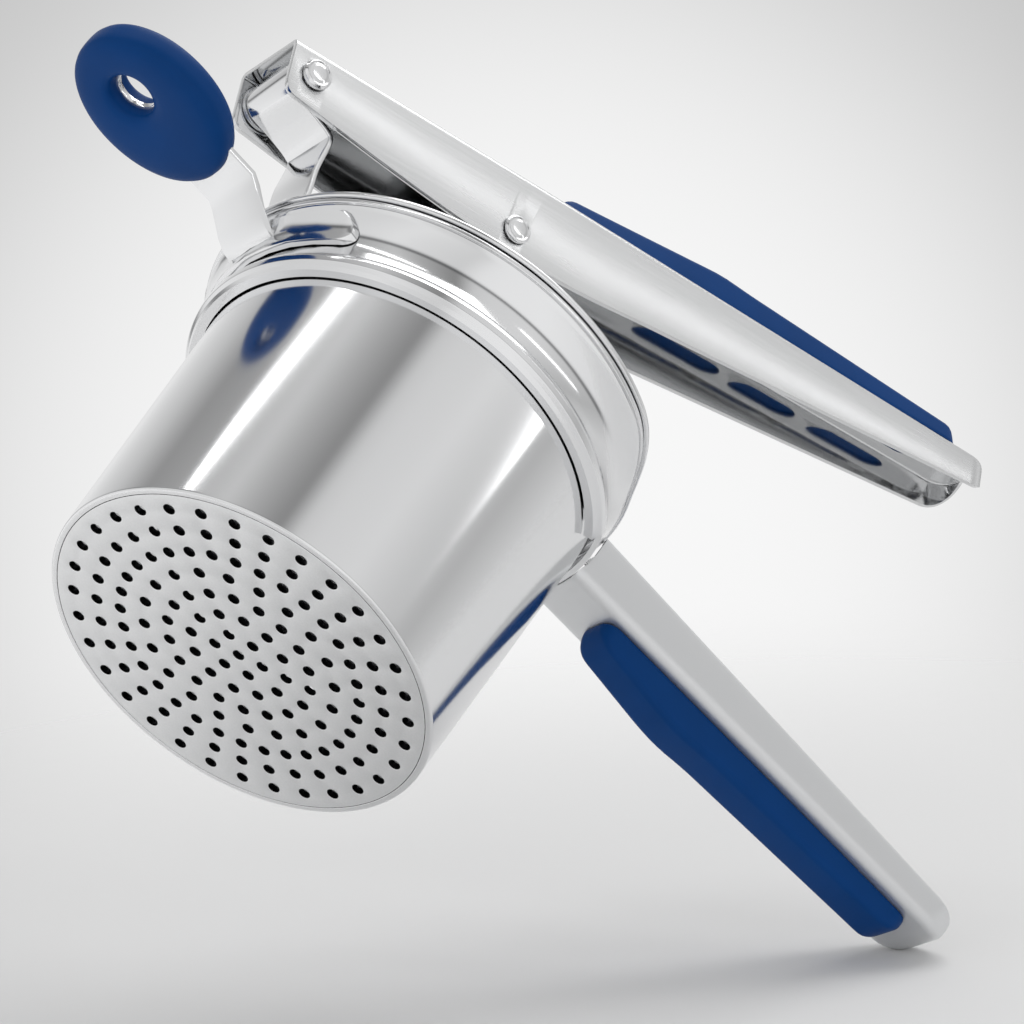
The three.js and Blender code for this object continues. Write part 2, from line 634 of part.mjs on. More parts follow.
/** Outline of the lever from above, drawn in by an inset all round and run out at the rear. */
function leverPlan(inset, rear) {
  const wide = LEVER_W / 2 - inset;
  const narrow = leverTipW / 2 - inset;
  const tip = LEVER_LENGTH - inset;
  const corner = leverTipR - inset;
  const shape = new THREE.Shape();
  shape.moveTo(rear, -wide);
  shape.lineTo(plungerAt + LEVER_W / 2, -wide);
  shape.lineTo(tip - corner, -narrow);
  shape.absarc(tip - corner, corner - narrow, corner, -Math.PI / 2, 0, false);
  shape.absarc(tip - corner, narrow - corner, corner, 0, Math.PI / 2, false);
  shape.lineTo(plungerAt + LEVER_W / 2, wide);
  shape.lineTo(rear, wide);
  shape.closePath();
  return shape;
}

function lever() {
  const low = LEVER_TOP - LEVER_BELLY_DEPTH - OVERSHOOT;
  const under = LEVER_TOP - LEVER_SHEET;
  const plan = slab(leverPlan(0, -LEVER_HEEL), low, LEVER_TOP + OVERSHOOT, 8);
  const hollow = slab(leverPlan(LEVER_SHEET, -LEVER_HEEL - OVERSHOOT), low, under, 8);
  let body = profile(leverSide(), LEVER_W + OVERSHOOT, 8).intersect(plan).subtract(hollow);
  for (const [from, to] of WINDOWS) {
    const window = strip(LEVER_LENGTH - from, LEVER_LENGTH - to, WINDOW_W / 2, windowR, windowR);
    body = body.subtract(slab(window, under - TOUCH_GAP, LEVER_TOP + TOUCH_GAP, 5));
  }
  const across = LEVER_W / 2 + OVERSHOOT;
  body = body.subtract(crossBar(hingePinR + PIN_CLEARANCE, -across, across));
  const plungerHole = PLUNGER_PIN_R + PIN_CLEARANCE;
  return body.subtract(crossBar(plungerHole, -across, across, plungerAt, -PLUNGER_DROP));
}

/** A rivet-like pin across the lever: a shank with a raised head outside each side wall. */
function leverPin(shankR, headR, headH) {
  const face = LEVER_W / 2 + TOUCH_GAP;
  const end = face + headH;
  const pin = turned([
    [0, -end],
    [headR * HEAD_FACE, -end],
    [headR, -end + headH * HEAD_EASE],
    [headR, -face],
    [shankR, -face],
    [shankR, face],
    [headR, face],
    [headR, end - headH * HEAD_EASE],
    [headR * HEAD_FACE, end],
    [0, end],
  ], SMALL_ROUND);
  return pin.rotate([90, 0, 0]);
}

/** A washer or tube round a pin, between two values of y. */
function sleeveRound(innerR, outerR, y0, y1) {
  return crossBar(outerR, y0, y1).subtract(crossBar(innerR, y0 - OVERSHOOT, y1 + OVERSHOOT));
}

function upperGrip() {
  const [x0, x1] = [upperGripStart, upperGripEnd];
  const base = LEVER_TOP + TOUCH_GAP;
  const shape = new THREE.Shape();
  shape.moveTo(x0, base);
  shape.lineTo(x1, base);
  shape.lineTo(x1, base + UPPER_GRIP_END - 2.2);
  shape.quadraticCurveTo(x1, base + UPPER_GRIP_END, x1 - 2.6, base + UPPER_GRIP_END + 0.2);
  shape.lineTo(upperHump + 8, base + UPPER_GRIP_HUMP - 0.5);
  shape.quadraticCurveTo(upperHump, base + UPPER_GRIP_HUMP + 0.2,
    upperHump - 7, base + UPPER_GRIP_HUMP - 0.7);
  shape.lineTo(x0 + 8, base + UPPER_GRIP_END - 0.6);
  shape.quadraticCurveTo(x0 + 3, base + UPPER_GRIP_END - 1.4, x0, base);
  shape.closePath();
  const plan = strip(x0, x1, UPPER_GRIP_W / 2, GRIP_CORNER_R, GRIP_CORNER_R);
  const high = base + UPPER_GRIP_HUMP + OVERSHOOT;
  return profile(shape, UPPER_GRIP_W + OVERSHOOT, 6).intersect(slab(plan, base, high, 6));
}

// ---- Plunger (plunger pin at the origin, plate below it) -----------------------------------

function plungerStem() {
  const plateTop = -plungerLength + PLATE_T;
  const footLow = plateTop + TOUCH_GAP;
  const footTop = footLow + STEM_FOOT_T;
  const eye = crossBar(STEM_EYE_R, -STEM_EYE_W / 2, STEM_EYE_W / 2);
  const lean = Math.atan2(plateOffset, -footTop);
  const length = Math.hypot(plateOffset, footTop);
  const rod = new THREE.CylinderGeometry(STEM_R, STEM_R, length, SMALL_ROUND);
  rod.translate(0, -length / 2, 0).rotateX(Math.PI / 2).rotateY(-lean);
  const foot = turned([
    [0, footLow],
    [STEM_FOOT_R, footLow],
    [STEM_FOOT_R, footTop - STEM_FILLET],
    [STEM_R + 1, footTop + STEM_FILLET],
    [0, footTop + STEM_FILLET],
  ], 28).translate([plateOffset, 0, 0]);
  const pinHole = crossBar(PLUNGER_PIN_R + PIN_CLEARANCE, -STEM_EYE_W, STEM_EYE_W);
  const rivetTop = -plungerLength + PLATE_T + PLATE_RIVET_DEPTH + TOUCH_GAP;
  const bore = turned([
    [0, footLow - 1],
    [PLATE_RIVET_R + TOUCH_GAP, footLow - 1],
    [PLATE_RIVET_R + TOUCH_GAP, rivetTop],
    [0, rivetTop],
  ], SMALL_ROUND).translate([plateOffset, 0, 0]);
  return eye.add(toSolid(rod)).add(foot).subtract(pinHole).subtract(bore);
}

function pressPlate() {
  const low = -plungerLength;
  const bore = PLATE_RIVET_R + TOUCH_GAP;
  return turned([
    [bore, low],
    [plateR - PLATE_CORNER, low],
    [plateR, low + PLATE_CORNER],
    [plateR, low + PLATE_RIM_H],
    [plateR - PLATE_T, low + PLATE_RIM_H],
    [plateR - PLATE_T, low + PLATE_T + PLATE_CORNER],
    [plateR - PLATE_T - PLATE_CORNER, low + PLATE_T],
    [bore, low + PLATE_T],
  ]).translate([plateOffset, 0, 0]);
}

function plateRivet() {
  const low = -plungerLength - TOUCH_GAP;
  const top = -plungerLength + PLATE_T + PLATE_RIVET_DEPTH;
  return turned([
    [0, low - PLATE_RIVET_HEAD_T],
    [PLATE_RIVET_HEAD_R - 1, low - PLATE_RIVET_HEAD_T],
    [PLATE_RIVET_HEAD_R, low - EDGE_EASE],
    [PLATE_RIVET_HEAD_R, low],
    [PLATE_RIVET_R, low],
    [PLATE_RIVET_R, top],
    [0, top],
  ], SMALL_ROUND).translate([plateOffset, 0, 0]);
}

// ---- Assembly -----------------------------------------------------------------------------

const ricer = new THREE.Group();
ricer.add(piece("basket_shell", basketShell(), polishedSteel));
ricer.add(piece("perforated_base", perforatedBase(), satinSteel));
ricer.add(piece("frame_ring", frameRing(), polishedSteel));
ricer.add(piece("top_ring", topRing(), polishedSteel));
ricer.add(piece("lower_handle", lowerHandle(), satinSteel));
ricer.add(piece("lower_grip", lowerGrip(), blueRubber));
ricer.add(piece("hinge_bracket", hingeBracket(), polishedSteel));
ricer.add(piece("rest_tab", restTab(), polishedSteel));
ricer.add(piece("tab_sleeve", tabSleeve(), blueRubber));

const leverGroup = new THREE.Group();
leverGroup.position.set(hingeX, 0, hingeZ);
leverGroup.rotation.y = -rad(LEVER_ANGLE);
ricer.add(leverGroup);
leverGroup.add(piece("lever", lever(), satinSteel));
leverGroup.add(piece("upper_grip", upperGrip(), blueRubber));
leverGroup.add(piece("hinge_pin", leverPin(hingePinR, PIN_HEAD_R, PIN_HEAD_H), polishedSteel));

const bush = sleeveRound(hingePinR + PIN_CLEARANCE, bushR, -bracketW / 2, bracketW / 2);
leverGroup.add(piece("hinge_bush", bush, satinSteel));

const plungerPlace = new THREE.Group();
plungerPlace.position.set(plungerAt, 0, -PLUNGER_DROP);
leverGroup.add(plungerPlace);
const plungerPin = leverPin(PLUNGER_PIN_R, PLUNGER_HEAD_R, PLUNGER_HEAD_H);
plungerPlace.add(piece("plunger_pin", plungerPin, polishedSteel));

const plungerGroup = new THREE.Group();
plungerGroup.rotation.y = rad(LEVER_ANGLE - PLUNGER_TILT);
plungerPlace.add(plungerGroup);
plungerGroup.add(piece("plunger_stem", plungerStem(), satinSteel));
plungerGroup.add(piece("press_plate", pressPlate(), satinSteel));
plungerGroup.add(piece("plate_rivet", plateRivet(), satinSteel));

for (const [side, sign] of [["near", -1], ["far", 1]]) {
  const span = (a, b) => [Math.min(sign * a, sign * b), Math.max(sign * a, sign * b)];
  const washerAt = span(washerOut - WASHER_T, washerOut);
  const washer = sleeveRound(hingePinR + PIN_CLEARANCE, washerR, ...washerAt);
  leverGroup.add(piece(`hinge_washer_${side}`, washer, satinSteel));
  const spacerAt = span(STEM_EYE_W / 2 + TOUCH_GAP, washerOut);
  const spacerBore = PLUNGER_PIN_R + PIN_CLEARANCE;
  const spacer = sleeveRound(spacerBore, spacerBore + SPACER_WALL, ...spacerAt);
  plungerPlace.add(piece(`plunger_spacer_${side}`, spacer, satinSteel));
}

const midLength = (handleTip + tabX - TAB_LENGTH / 2) / 2;
ricer.position.x = -midLength;

export default ricer;
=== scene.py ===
import math

import bmesh
import bpy
from mathutils import Matrix, Vector


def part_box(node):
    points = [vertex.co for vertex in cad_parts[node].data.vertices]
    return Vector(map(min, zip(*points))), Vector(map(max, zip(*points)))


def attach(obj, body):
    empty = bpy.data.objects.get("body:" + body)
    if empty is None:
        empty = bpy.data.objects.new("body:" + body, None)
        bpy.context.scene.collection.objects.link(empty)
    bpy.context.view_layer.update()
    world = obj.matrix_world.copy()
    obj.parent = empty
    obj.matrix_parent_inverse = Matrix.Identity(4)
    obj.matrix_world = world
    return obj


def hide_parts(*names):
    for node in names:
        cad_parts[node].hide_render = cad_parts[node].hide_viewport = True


bl_info = {
    "name": "Potato Ricer",
    "version": (1, 0, 0),
    "blender": (4, 5, 0),
    "location": "3D View > Sidebar > Ricer",
    "description": "Builds a lever potato ricer around its CAD frame, piece by piece",
    "category": "Add Mesh",
}

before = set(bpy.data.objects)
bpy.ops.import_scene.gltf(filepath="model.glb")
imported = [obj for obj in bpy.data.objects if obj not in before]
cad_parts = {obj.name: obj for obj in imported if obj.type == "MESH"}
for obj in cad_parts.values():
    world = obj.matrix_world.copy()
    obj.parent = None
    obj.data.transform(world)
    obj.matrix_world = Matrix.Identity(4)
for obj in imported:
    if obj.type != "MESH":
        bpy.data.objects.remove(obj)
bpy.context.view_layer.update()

MM = 0.001
Y_AXIS = "Y"


def centre_of(node):
    """Middle of a CAD node's box."""
    low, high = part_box(node)
    return (low + high) / 2


BASKET_AXIS = Vector((centre_of("basket_shell").x, 0, 0))
HINGE = centre_of("hinge_pin")
PLUNGER = centre_of("plunger_pin")


# ---- Sizes and colours -----------------------------------------------------------------------


def length(name, default, description):
    """A length property in metres, given in millimetres."""
    return bpy.props.FloatProperty(
        name=name, default=default * MM, description=description, min=0,
        subtype="DISTANCE", unit="LENGTH", precision=5,
    )


def angle(name, degrees, description):
    """An angle property, given in degrees."""
    return bpy.props.FloatProperty(
        name=name, default=math.radians(degrees), description=description,
        subtype="ANGLE", unit="ROTATION",
    )


def colour(name, default, description):
    """A colour property."""
    return bpy.props.FloatVectorProperty(
        name=name, default=default, description=description,
        subtype="COLOR", size=3, min=0, max=1,
    )


class RicerSizes(bpy.types.PropertyGroup):
    """Sizes of the ricer's pieces."""

    basket_radius: length("Basket radius", 42, "Outer radius of the basket at its underside")
    basket_height: length("Basket height", 82.2, "Underside to the top of the rim")
    basket_wall: length("Basket wall", 0.8, "Sheet thickness of the basket")
    basket_taper: bpy.props.FloatProperty(
        name="Basket taper", default=0.033, description="Growth of radius per unit of height"
    )
    rim_width: length("Rim width", 1.4, "How far the basket's rim stands out")
    rim_thickness: length("Rim thickness", 1.1, "Height of the basket's rim")
    base_thickness: length("Base thickness", 1.6, "Thickness of the perforated disc")
    hole_radius: length("Hole radius", 1.25, "Radius of each hole in the disc")
    ring_step: length("Ring step", 5.27, "Radius added from one ring of holes to the next")
    hole_phase: angle("Hole phase", 26.5, "Bearing of the first hole in each ring")
    flange_radius: length("Flange radius", 51.5, "Outer radius of the ring's flange")
    bead_radius: length("Bead radius", 48, "Outer radius of the bead at the ring's foot")
    ring_sheet: length("Ring sheet", 1.2, "Sheet thickness of the ring")
    narrowing: length("Narrowing", 4.5, "How far the flange draws in beside the lower handle")
    lever_angle: angle("Lever angle", 21, "Lever above level, as built")
    lever_sheet: length("Lever sheet", 1.2, "Sheet thickness of the lever")
    handle_sheet: length("Handle sheet", 1.2, "Sheet thickness of the lower handle")
    bend_radius: length("Bend radius", 1.9, "Outside radius of the lever's long bends")
    plunger_tilt: angle("Plunger tilt", 2.86, "Lean of the plunger, as built")


class RicerColours(bpy.types.PropertyGroup):
    """Finishes of the ricer."""

    polished: colour("Polished steel", (0.86, 0.865, 0.87), "Colour of the mirror-polished sheet")
    satin: colour("Satin steel", (0.80, 0.805, 0.81), "Colour of the satin sheet")
    # Darker than the satin sheet: painted shade on the lever's inner faces.
    inner: colour("Inner faces", (0.68, 0.685, 0.69), "Colour of the lever's inner faces")
    # Near-black colour for the walls of the holes: painted shade that stands for the dark inside
    # the holes.
    shaded: colour("Painted hole shade", (0.02, 0.02, 0.022), "Colour inside the punched holes")
    rubber: colour("Soft grip", (0.0008, 0.045, 0.19), "Colour of the moulded grips")


class RicerStage(bpy.types.PropertyGroup):
    """Camera and light."""

    lens: bpy.props.FloatProperty(
        name="Lens", default=140.6, description="Focal length in millimetres", min=10
    )
    distance: length("Distance", 830, "Camera to the point it looks at")
    bearing: angle("Bearing", -109.5, "Camera's bearing from the handles' direction")
    elevation: angle("Elevation", -38.86, "Camera's elevation, below level when negative")
    roll: angle("Roll", 34.5, "Turn of the camera about its line of sight")
    backdrop: colour("Backdrop", (0.72, 0.72, 0.72), "Colour of the plain backdrop")


def sizes():
    return bpy.context.scene.ricer_sizes


def colours():
    return bpy.context.scene.ricer_colours


# ---- Materials -------------------------------------------------------------------------------


def node(tree, kind, inputs=None, **settings):
    """Adds a node. An input given as a socket, or a list of sockets, is linked; a value is set."""
    made = tree.nodes.new(kind)
    for name, value in settings.items():
        setattr(made, name, value)
    for name, value in (inputs or {}).items():
        if isinstance(value, bpy.types.NodeSocket):
            tree.links.new(value, made.inputs[name])
        elif isinstance(value, list):
            for socket in value:
                tree.links.new(socket, made.inputs[name])
        else:
            made.inputs[name].default_value = value
    return made


def new_material(name):
    """An empty node material and its node tree."""
    material = bpy.data.materials.new(name)
    material.use_nodes = True
    material.node_tree.nodes.clear()
    return material, material.node_tree


def object_noise(tree, scale, turn, detail):
    """Noise on Object coordinates, stretched and turned about Y. Returns its value socket."""
    place = node(tree, "ShaderNodeTexCoord").outputs["Object"]
    mapping = node(tree, "ShaderNodeMapping", {"Vector": place, "Rotation": (0, turn, 0)},
                   vector_type="TEXTURE")
    stretch = node(tree, "ShaderNodeMapping",
                   {"Vector": mapping.outputs["Vector"], "Scale": scale})
    noise = node(tree, "ShaderNodeTexNoise",
                 {"Vector": stretch.outputs["Vector"], "Scale": 1.0, "Detail": detail})
    return noise.outputs["Fac"]


def spread(tree, value, low, high):
    """Maps a noise value, which stays near its middle, to a range."""
    ends = {"From Min": 0.3, "From Max": 0.7, "To Min": low, "To Max": high}
    return node(tree, "ShaderNodeMapRange", {"Value": value, **ends}).outputs["Result"]


def tint(tree, value, tone, depth):
    """Colour that varies a little about a tone."""
    mix = node(tree, "ShaderNodeMix", {
        "Factor": spread(tree, value, 0, 1),
        "A": (*(c * (1 - depth) for c in tone), 1),
        "B": (*(min(c * (1 + depth), 1) for c in tone), 1),
    }, data_type="RGBA")
    return mix.outputs["Result"]


def surface(tree, colour_socket, roughness, height, relief, relief_depth, **values):
    """Ends a material: a shader with a bumped normal."""
    bump = node(tree, "ShaderNodeBump",
                {"Strength": relief, "Distance": relief_depth, "Height": height})
    shader = node(tree, "ShaderNodeBsdfPrincipled", {
        "Base Color": colour_socket, "Roughness": roughness,
        "Normal": bump.outputs["Normal"], **values,
    })
    node(tree, "ShaderNodeOutputMaterial", {"Surface": shader.outputs["BSDF"]})


def steel(name, tone, roughness, wander, grain, relief, turn=0.0):
    """Bare steel: roughness wanders between cloudy patches, and fine marks follow the grain."""
    found = bpy.data.materials.get(name)
    if found:
        return found
    material, tree = new_material(name)
    cloud = object_noise(tree, (38, 38, 38), turn, 3)
    marks = object_noise(tree, grain, turn, 5)
    both = node(tree, "ShaderNodeMath", {0: marks, 1: 0.55, 2: spread(tree, cloud, 0.1, 0.35)},
                operation="MULTIPLY_ADD")
    rough = spread(tree, both.outputs[0], roughness - wander, roughness + wander)
    surface(tree, tint(tree, marks, tone, 0.03), rough, marks, relief, 0.00004,
            **{"Metallic": 1.0})
    return material


def polished_steel():
    return steel("polished_steel", colours().polished, 0.015, 0.01, (900, 900, 140), 0.008)


def satin_steel():
    return steel("satin_steel", colours().satin, 0.26, 0.03, (70, 2600, 2600), 0.08)


def lever_steel():
    turn = -sizes().lever_angle
    return steel("lever_satin_steel", colours().satin, 0.26, 0.02, (70, 2600, 2600), 0.06, turn)


def inner_painted_shade_steel():
    """The lever's inner faces, which keep the mirror of the rolled sheet, in a darker tone: painted
    shade inside the channel.
    """
    turn = -sizes().lever_angle
    return steel("lever_inner_painted_shade", colours().inner, 0.1, 0.02, (90, 1800, 1800), 0.02, turn)


def disc_steel():
    return steel("disc_satin_steel", colours().satin, 0.36, 0.06, (2400, 2400, 2400), 0.22)


# The walls of the holes in near-black steel: painted shade inside the holes.
def hole_shade_steel():
    return steel("painted_hole_shade", colours().shaded, 0.35, 0.1, (1500, 1500, 500), 0.3)


def soft_rubber():
    """Moulded silicone: a very fine grain, a matte face and slightly uneven depth of colour."""
    found = bpy.data.materials.get("soft_rubber")
    if found:
        return found
    material, tree = new_material("soft_rubber")
    cloud = object_noise(tree, (55, 55, 55), 0, 3)
    grain = object_noise(tree, (3800, 3800, 3800), 0, 2)
    surface(tree, tint(tree, cloud, colours().rubber, 0.07), spread(tree, grain, 0.38, 0.5),
            grain, 0.12, 0.00005, **{"Specular IOR Level": 0.1})
    return material


# ---- Mesh helpers (all in millimetres until the mesh is finished) -----------------------------


def rounded(points, steps=5):
    """An open path of (x, z, radius) with each corner rounded to its radius, as (x, z) points.
    Every corner gives steps + 1 points, so that rings of one piece have the same count."""
    path = [points[0][:2]]
    for before, corner, after in zip(points, points[1:], points[2:]):
        here = Vector(corner[:2])
        to_before = Vector(before[:2]) - here
        to_after = Vector(after[:2]) - here
        room = 0.49 * min(to_before.length, to_after.length)
        half = to_before.angle(to_after, math.pi) / 2
        reach = min(corner[2] / max(math.tan(half), 1e-6), room)
        start = here + to_before.normalized() * reach
        end = here + to_after.normalized() * reach
        for i in range(steps + 1):
            t = i / steps
            point = start * (1 - t) ** 2 + here * 2 * t * (1 - t) + end * t * t
            path.append((point.x, point.y))
    path.append(points[-1][:2])
    return path


def rounded_loop(points, steps=5):
    """A closed path of (x, z, radius) with each corner rounded."""
    return rounded([points[-1], *points, points[0]], steps)[1:-1]


def smooth_curve(points, steps=8):
    """A smooth line through points, by Catmull-Rom, as 2D vectors."""
    knots = [Vector(p) for p in points]
    knots = [2 * knots[0] - knots[1], *knots, 2 * knots[-1] - knots[-2]]
    line = []
    for a, b, c, d in zip(knots, knots[1:], knots[2:], knots[3:]):
        for i in range(steps):
            t = i / steps
            line.append(0.5 * (2 * b + (c - a) * t + (2 * a - 5 * b + 4 * c - d) * t * t
                               + (3 * b - a - 3 * c + d) * t ** 3))
    line.append(knots[-2])
    return line


def turned(points, sides=160, shape=None):
    """A solid of revolution about Z from a closed outline of (radius, height).
    shape(radius, height, bearing) may move a point, and returns (radius, height)."""
    mesh = bmesh.new()
    rows = []
    for radius, height in points:
        if radius < 1e-6:
            rows.append([mesh.verts.new((0, 0, height))] * sides)
            continue
        row = []
        for i in range(sides):
            bearing = 2 * math.pi * i / sides
            r, z = shape(radius, height, bearing) if shape else (radius, height)
            row.append(mesh.verts.new((r * math.cos(bearing), r * math.sin(bearing), z)))
        rows.append(row)
    for row, above in zip(rows, rows[1:] + rows[:1]):
        for i in range(sides):
            j = (i + 1) % sides
            corners = []
            for vert in (row[i], row[j], above[j], above[i]):
                if vert not in corners:
                    corners.append(vert)
            if len(corners) > 2:
                mesh.faces.new(corners)
    bmesh.ops.recalc_face_normals(mesh, faces=mesh.faces)
    return mesh


def lofted(rings, around=False):
    """A skin over closed rings of 3D points. The ends are capped, unless it goes all round."""
    mesh = bmesh.new()
    rows = [[mesh.verts.new(point) for point in ring] for ring in rings]
    pairs = list(zip(rows, rows[1:]))
    if around:
        pairs.append((rows[-1], rows[0]))
    for row, after in pairs:
        for i in range(len(row)):
            j = (i + 1) % len(row)
            mesh.faces.new((row[i], row[j], after[j], after[i]))
    if not around:
        mesh.faces.new(rows[0])
        mesh.faces.new(rows[-1])
    bmesh.ops.remove_doubles(mesh, verts=mesh.verts, dist=1e-4)
    bmesh.ops.dissolve_degenerate(mesh, edges=mesh.edges, dist=1e-4)
    bmesh.ops.recalc_face_normals(mesh, faces=mesh.faces)
    return mesh


def banded(line, thickness, width, edge):
    """A strip of sheet that follows a line in X and Z, with eased edges."""
    half_t, half_w = thickness / 2, width / 2
    section = rounded_loop([(-half_w, -half_t, edge), (half_w, -half_t, edge),
                            (half_w, half_t, edge), (-half_w, half_t, edge)], 3)
    rings = []
    for i, point in enumerate(line):
        ahead = line[min(i + 1, len(line) - 1)] - line[max(i - 1, 0)]
        normal = Vector((-ahead.y, ahead.x)).normalized()
        rings.append([(point.x + normal.x * t, y, point.y + normal.y * t) for y, t in section])
    return lofted(rings)


def to_mesh(mesh, name, place=Matrix.Identity(4)):
    """Turns a bmesh in millimetres into mesh data in metres, moved to its place."""
    mesh.transform(place @ Matrix.Scale(MM, 4))
    if place.determinant() < 0:
        bmesh.ops.reverse_faces(mesh, faces=mesh.faces)
    data = bpy.data.meshes.new(name)
    mesh.to_mesh(data)
    mesh.free()
    return data


def new_object(name, data):
    """Links a mesh as a new object at the origin."""
    made = bpy.data.objects.new(name, data)
    bpy.context.scene.collection.objects.link(made)
    return made


def applied(made):
    """Makes an object's modifiers part of its mesh."""
    graph = bpy.context.evaluated_depsgraph_get()
    graph.update()
    data = bpy.data.meshes.new_from_object(made.evaluated_get(graph), depsgraph=graph)
    data.name = made.data.name
    made.modifiers.clear()
    made.data = data
    return made


def cut(made, *cutters):
    """Subtracts bmeshes in millimetres (already in the object's frame) from an object."""
    for data in cutters:
        tool = new_object("cutter", data)
        modifier = made.modifiers.new("cut", "BOOLEAN")
        modifier.operation = "DIFFERENCE"
        modifier.solver = "EXACT"
        modifier.object = tool
        applied(made)
        bpy.data.objects.remove(tool)
    return made


def eased(made, width, segments=2, limit=35):
    """Rounds an object's sharp edges."""
    modifier = made.modifiers.new("ease", "BEVEL")
    modifier.width = width * MM
    modifier.segments = segments
    modifier.limit_method = "ANGLE"
    modifier.angle_limit = math.radians(limit)
    modifier.use_clamp_overlap = True
    return applied(made)


def finished(made, body, slot, material, *nodes, crease=30):
    """Smooths, colours and hands a piece over to the frame."""
    data = made.data
    for polygon in data.polygons:
        polygon.use_smooth = True
    data.set_sharp_from_angle(angle=math.radians(crease))
    if material is not None:
        data.materials.clear()
        data.materials.append(material)
    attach(made, body)
    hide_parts(*nodes)
    return made


def merged_copy(node, name):
    """A CAD node's mesh as a new object, with its loose triangles joined and flats made whole."""
    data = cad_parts[node].data.copy()
    data.name = name
    made = new_object(name, data)
    mesh = bmesh.new()
    mesh.from_mesh(data)
    bmesh.ops.remove_doubles(mesh, verts=mesh.verts, dist=2e-6)
    bmesh.ops.dissolve_limit(mesh, angle_limit=math.radians(0.6), verts=mesh.verts,
                             edges=mesh.edges)
    mesh.to_mesh(data)
    mesh.free()
    for layer in list(data.uv_layers):
        data.uv_layers.remove(layer)
    return made


# ---- Shapes ----------------------------------------------------------------------------------

LIP_WIDTH = 1.4
LIP_THICKNESS = 0.6
GAP = 0.3
SEAM = 0.06
HOLE_COUNTS = (6, 12, 18, 20, 32, 32, 32)
COLLAR_FOOT = 62.4
COLLAR_BEAD = 65.2
COLLAR_NECK = 69.5
COLLAR_TOP = 79.3
RING_CLEARANCE = 0.5
SKIRT_GAP = 37
NARROW_FROM = 64
NARROW_TO = 30
FLARE_POWER = 2.6
TOP_OVERHANG = 0.6
WEDGE_REACH = 90
CLEAR = 12


def basket_outer(height):
    """Outer radius of the basket's wall at a height, in millimetres."""
    s = sizes()
    return s.basket_radius / MM + s.basket_taper * height


def ring_inner():
    return basket_outer(sizes().basket_height / MM) + RING_CLEARANCE


def neck_radius():
    return ring_inner() + sizes().ring_sheet / MM


def at_basket():
    return Matrix.Translation(BASKET_AXIS)


def at_hinge():
    """Place and turn of the lever: hinge pin at its origin, lever along its X."""
    return Matrix.Translation(HINGE) @ Matrix.Rotation(-sizes().lever_angle, 4, Y_AXIS)


def at_plunger():
    """Place and turn of the plunger: its pin at the origin, plate below it."""
    return Matrix.Translation(PLUNGER) @ Matrix.Rotation(-sizes().plunger_tilt, 4, Y_AXIS)


def narrowed(bearing):
    """How much of the flange's narrowing applies at a bearing, from 0 to 1."""
    turn = abs(math.degrees(math.atan2(math.sin(bearing), math.cos(bearing))))
    share = min(max((NARROW_FROM - turn) / (NARROW_FROM - NARROW_TO), 0), 1)
    return share * share * (3 - 2 * share)


class RICER_OT_basket(bpy.types.Operator):
    """Spin the basket's wall, its rolled rim and its turned-in lip"""

    bl_idname = "ricer.basket"
    bl_label = "Basket"

    def execute(self, context):
        s = sizes()
        top = s.basket_height / MM
        under = top - s.rim_thickness / MM
        wall = s.basket_wall / MM
        foot = s.basket_radius / MM
        rim = basket_outer(top) + s.rim_width / MM
        outline = rounded_loop([
            (foot - LIP_WIDTH, 0, 0.15), (foot, 0, 1.5), (basket_outer(under), under, 0.25),
            (rim, under, 0.4), (rim, top, 0.5), (basket_outer(top) - wall, top, 0.7),
            (foot - wall, LIP_THICKNESS, 0.5), (foot - LIP_WIDTH, LIP_THICKNESS, 0.12),
        ], 6)
        made = new_object("basket", to_mesh(turned(outline, 192), "basket", at_basket()))
        finished(made, "basket", "polished_steel", polished_steel(), "basket_shell")
        return {"FINISHED"}


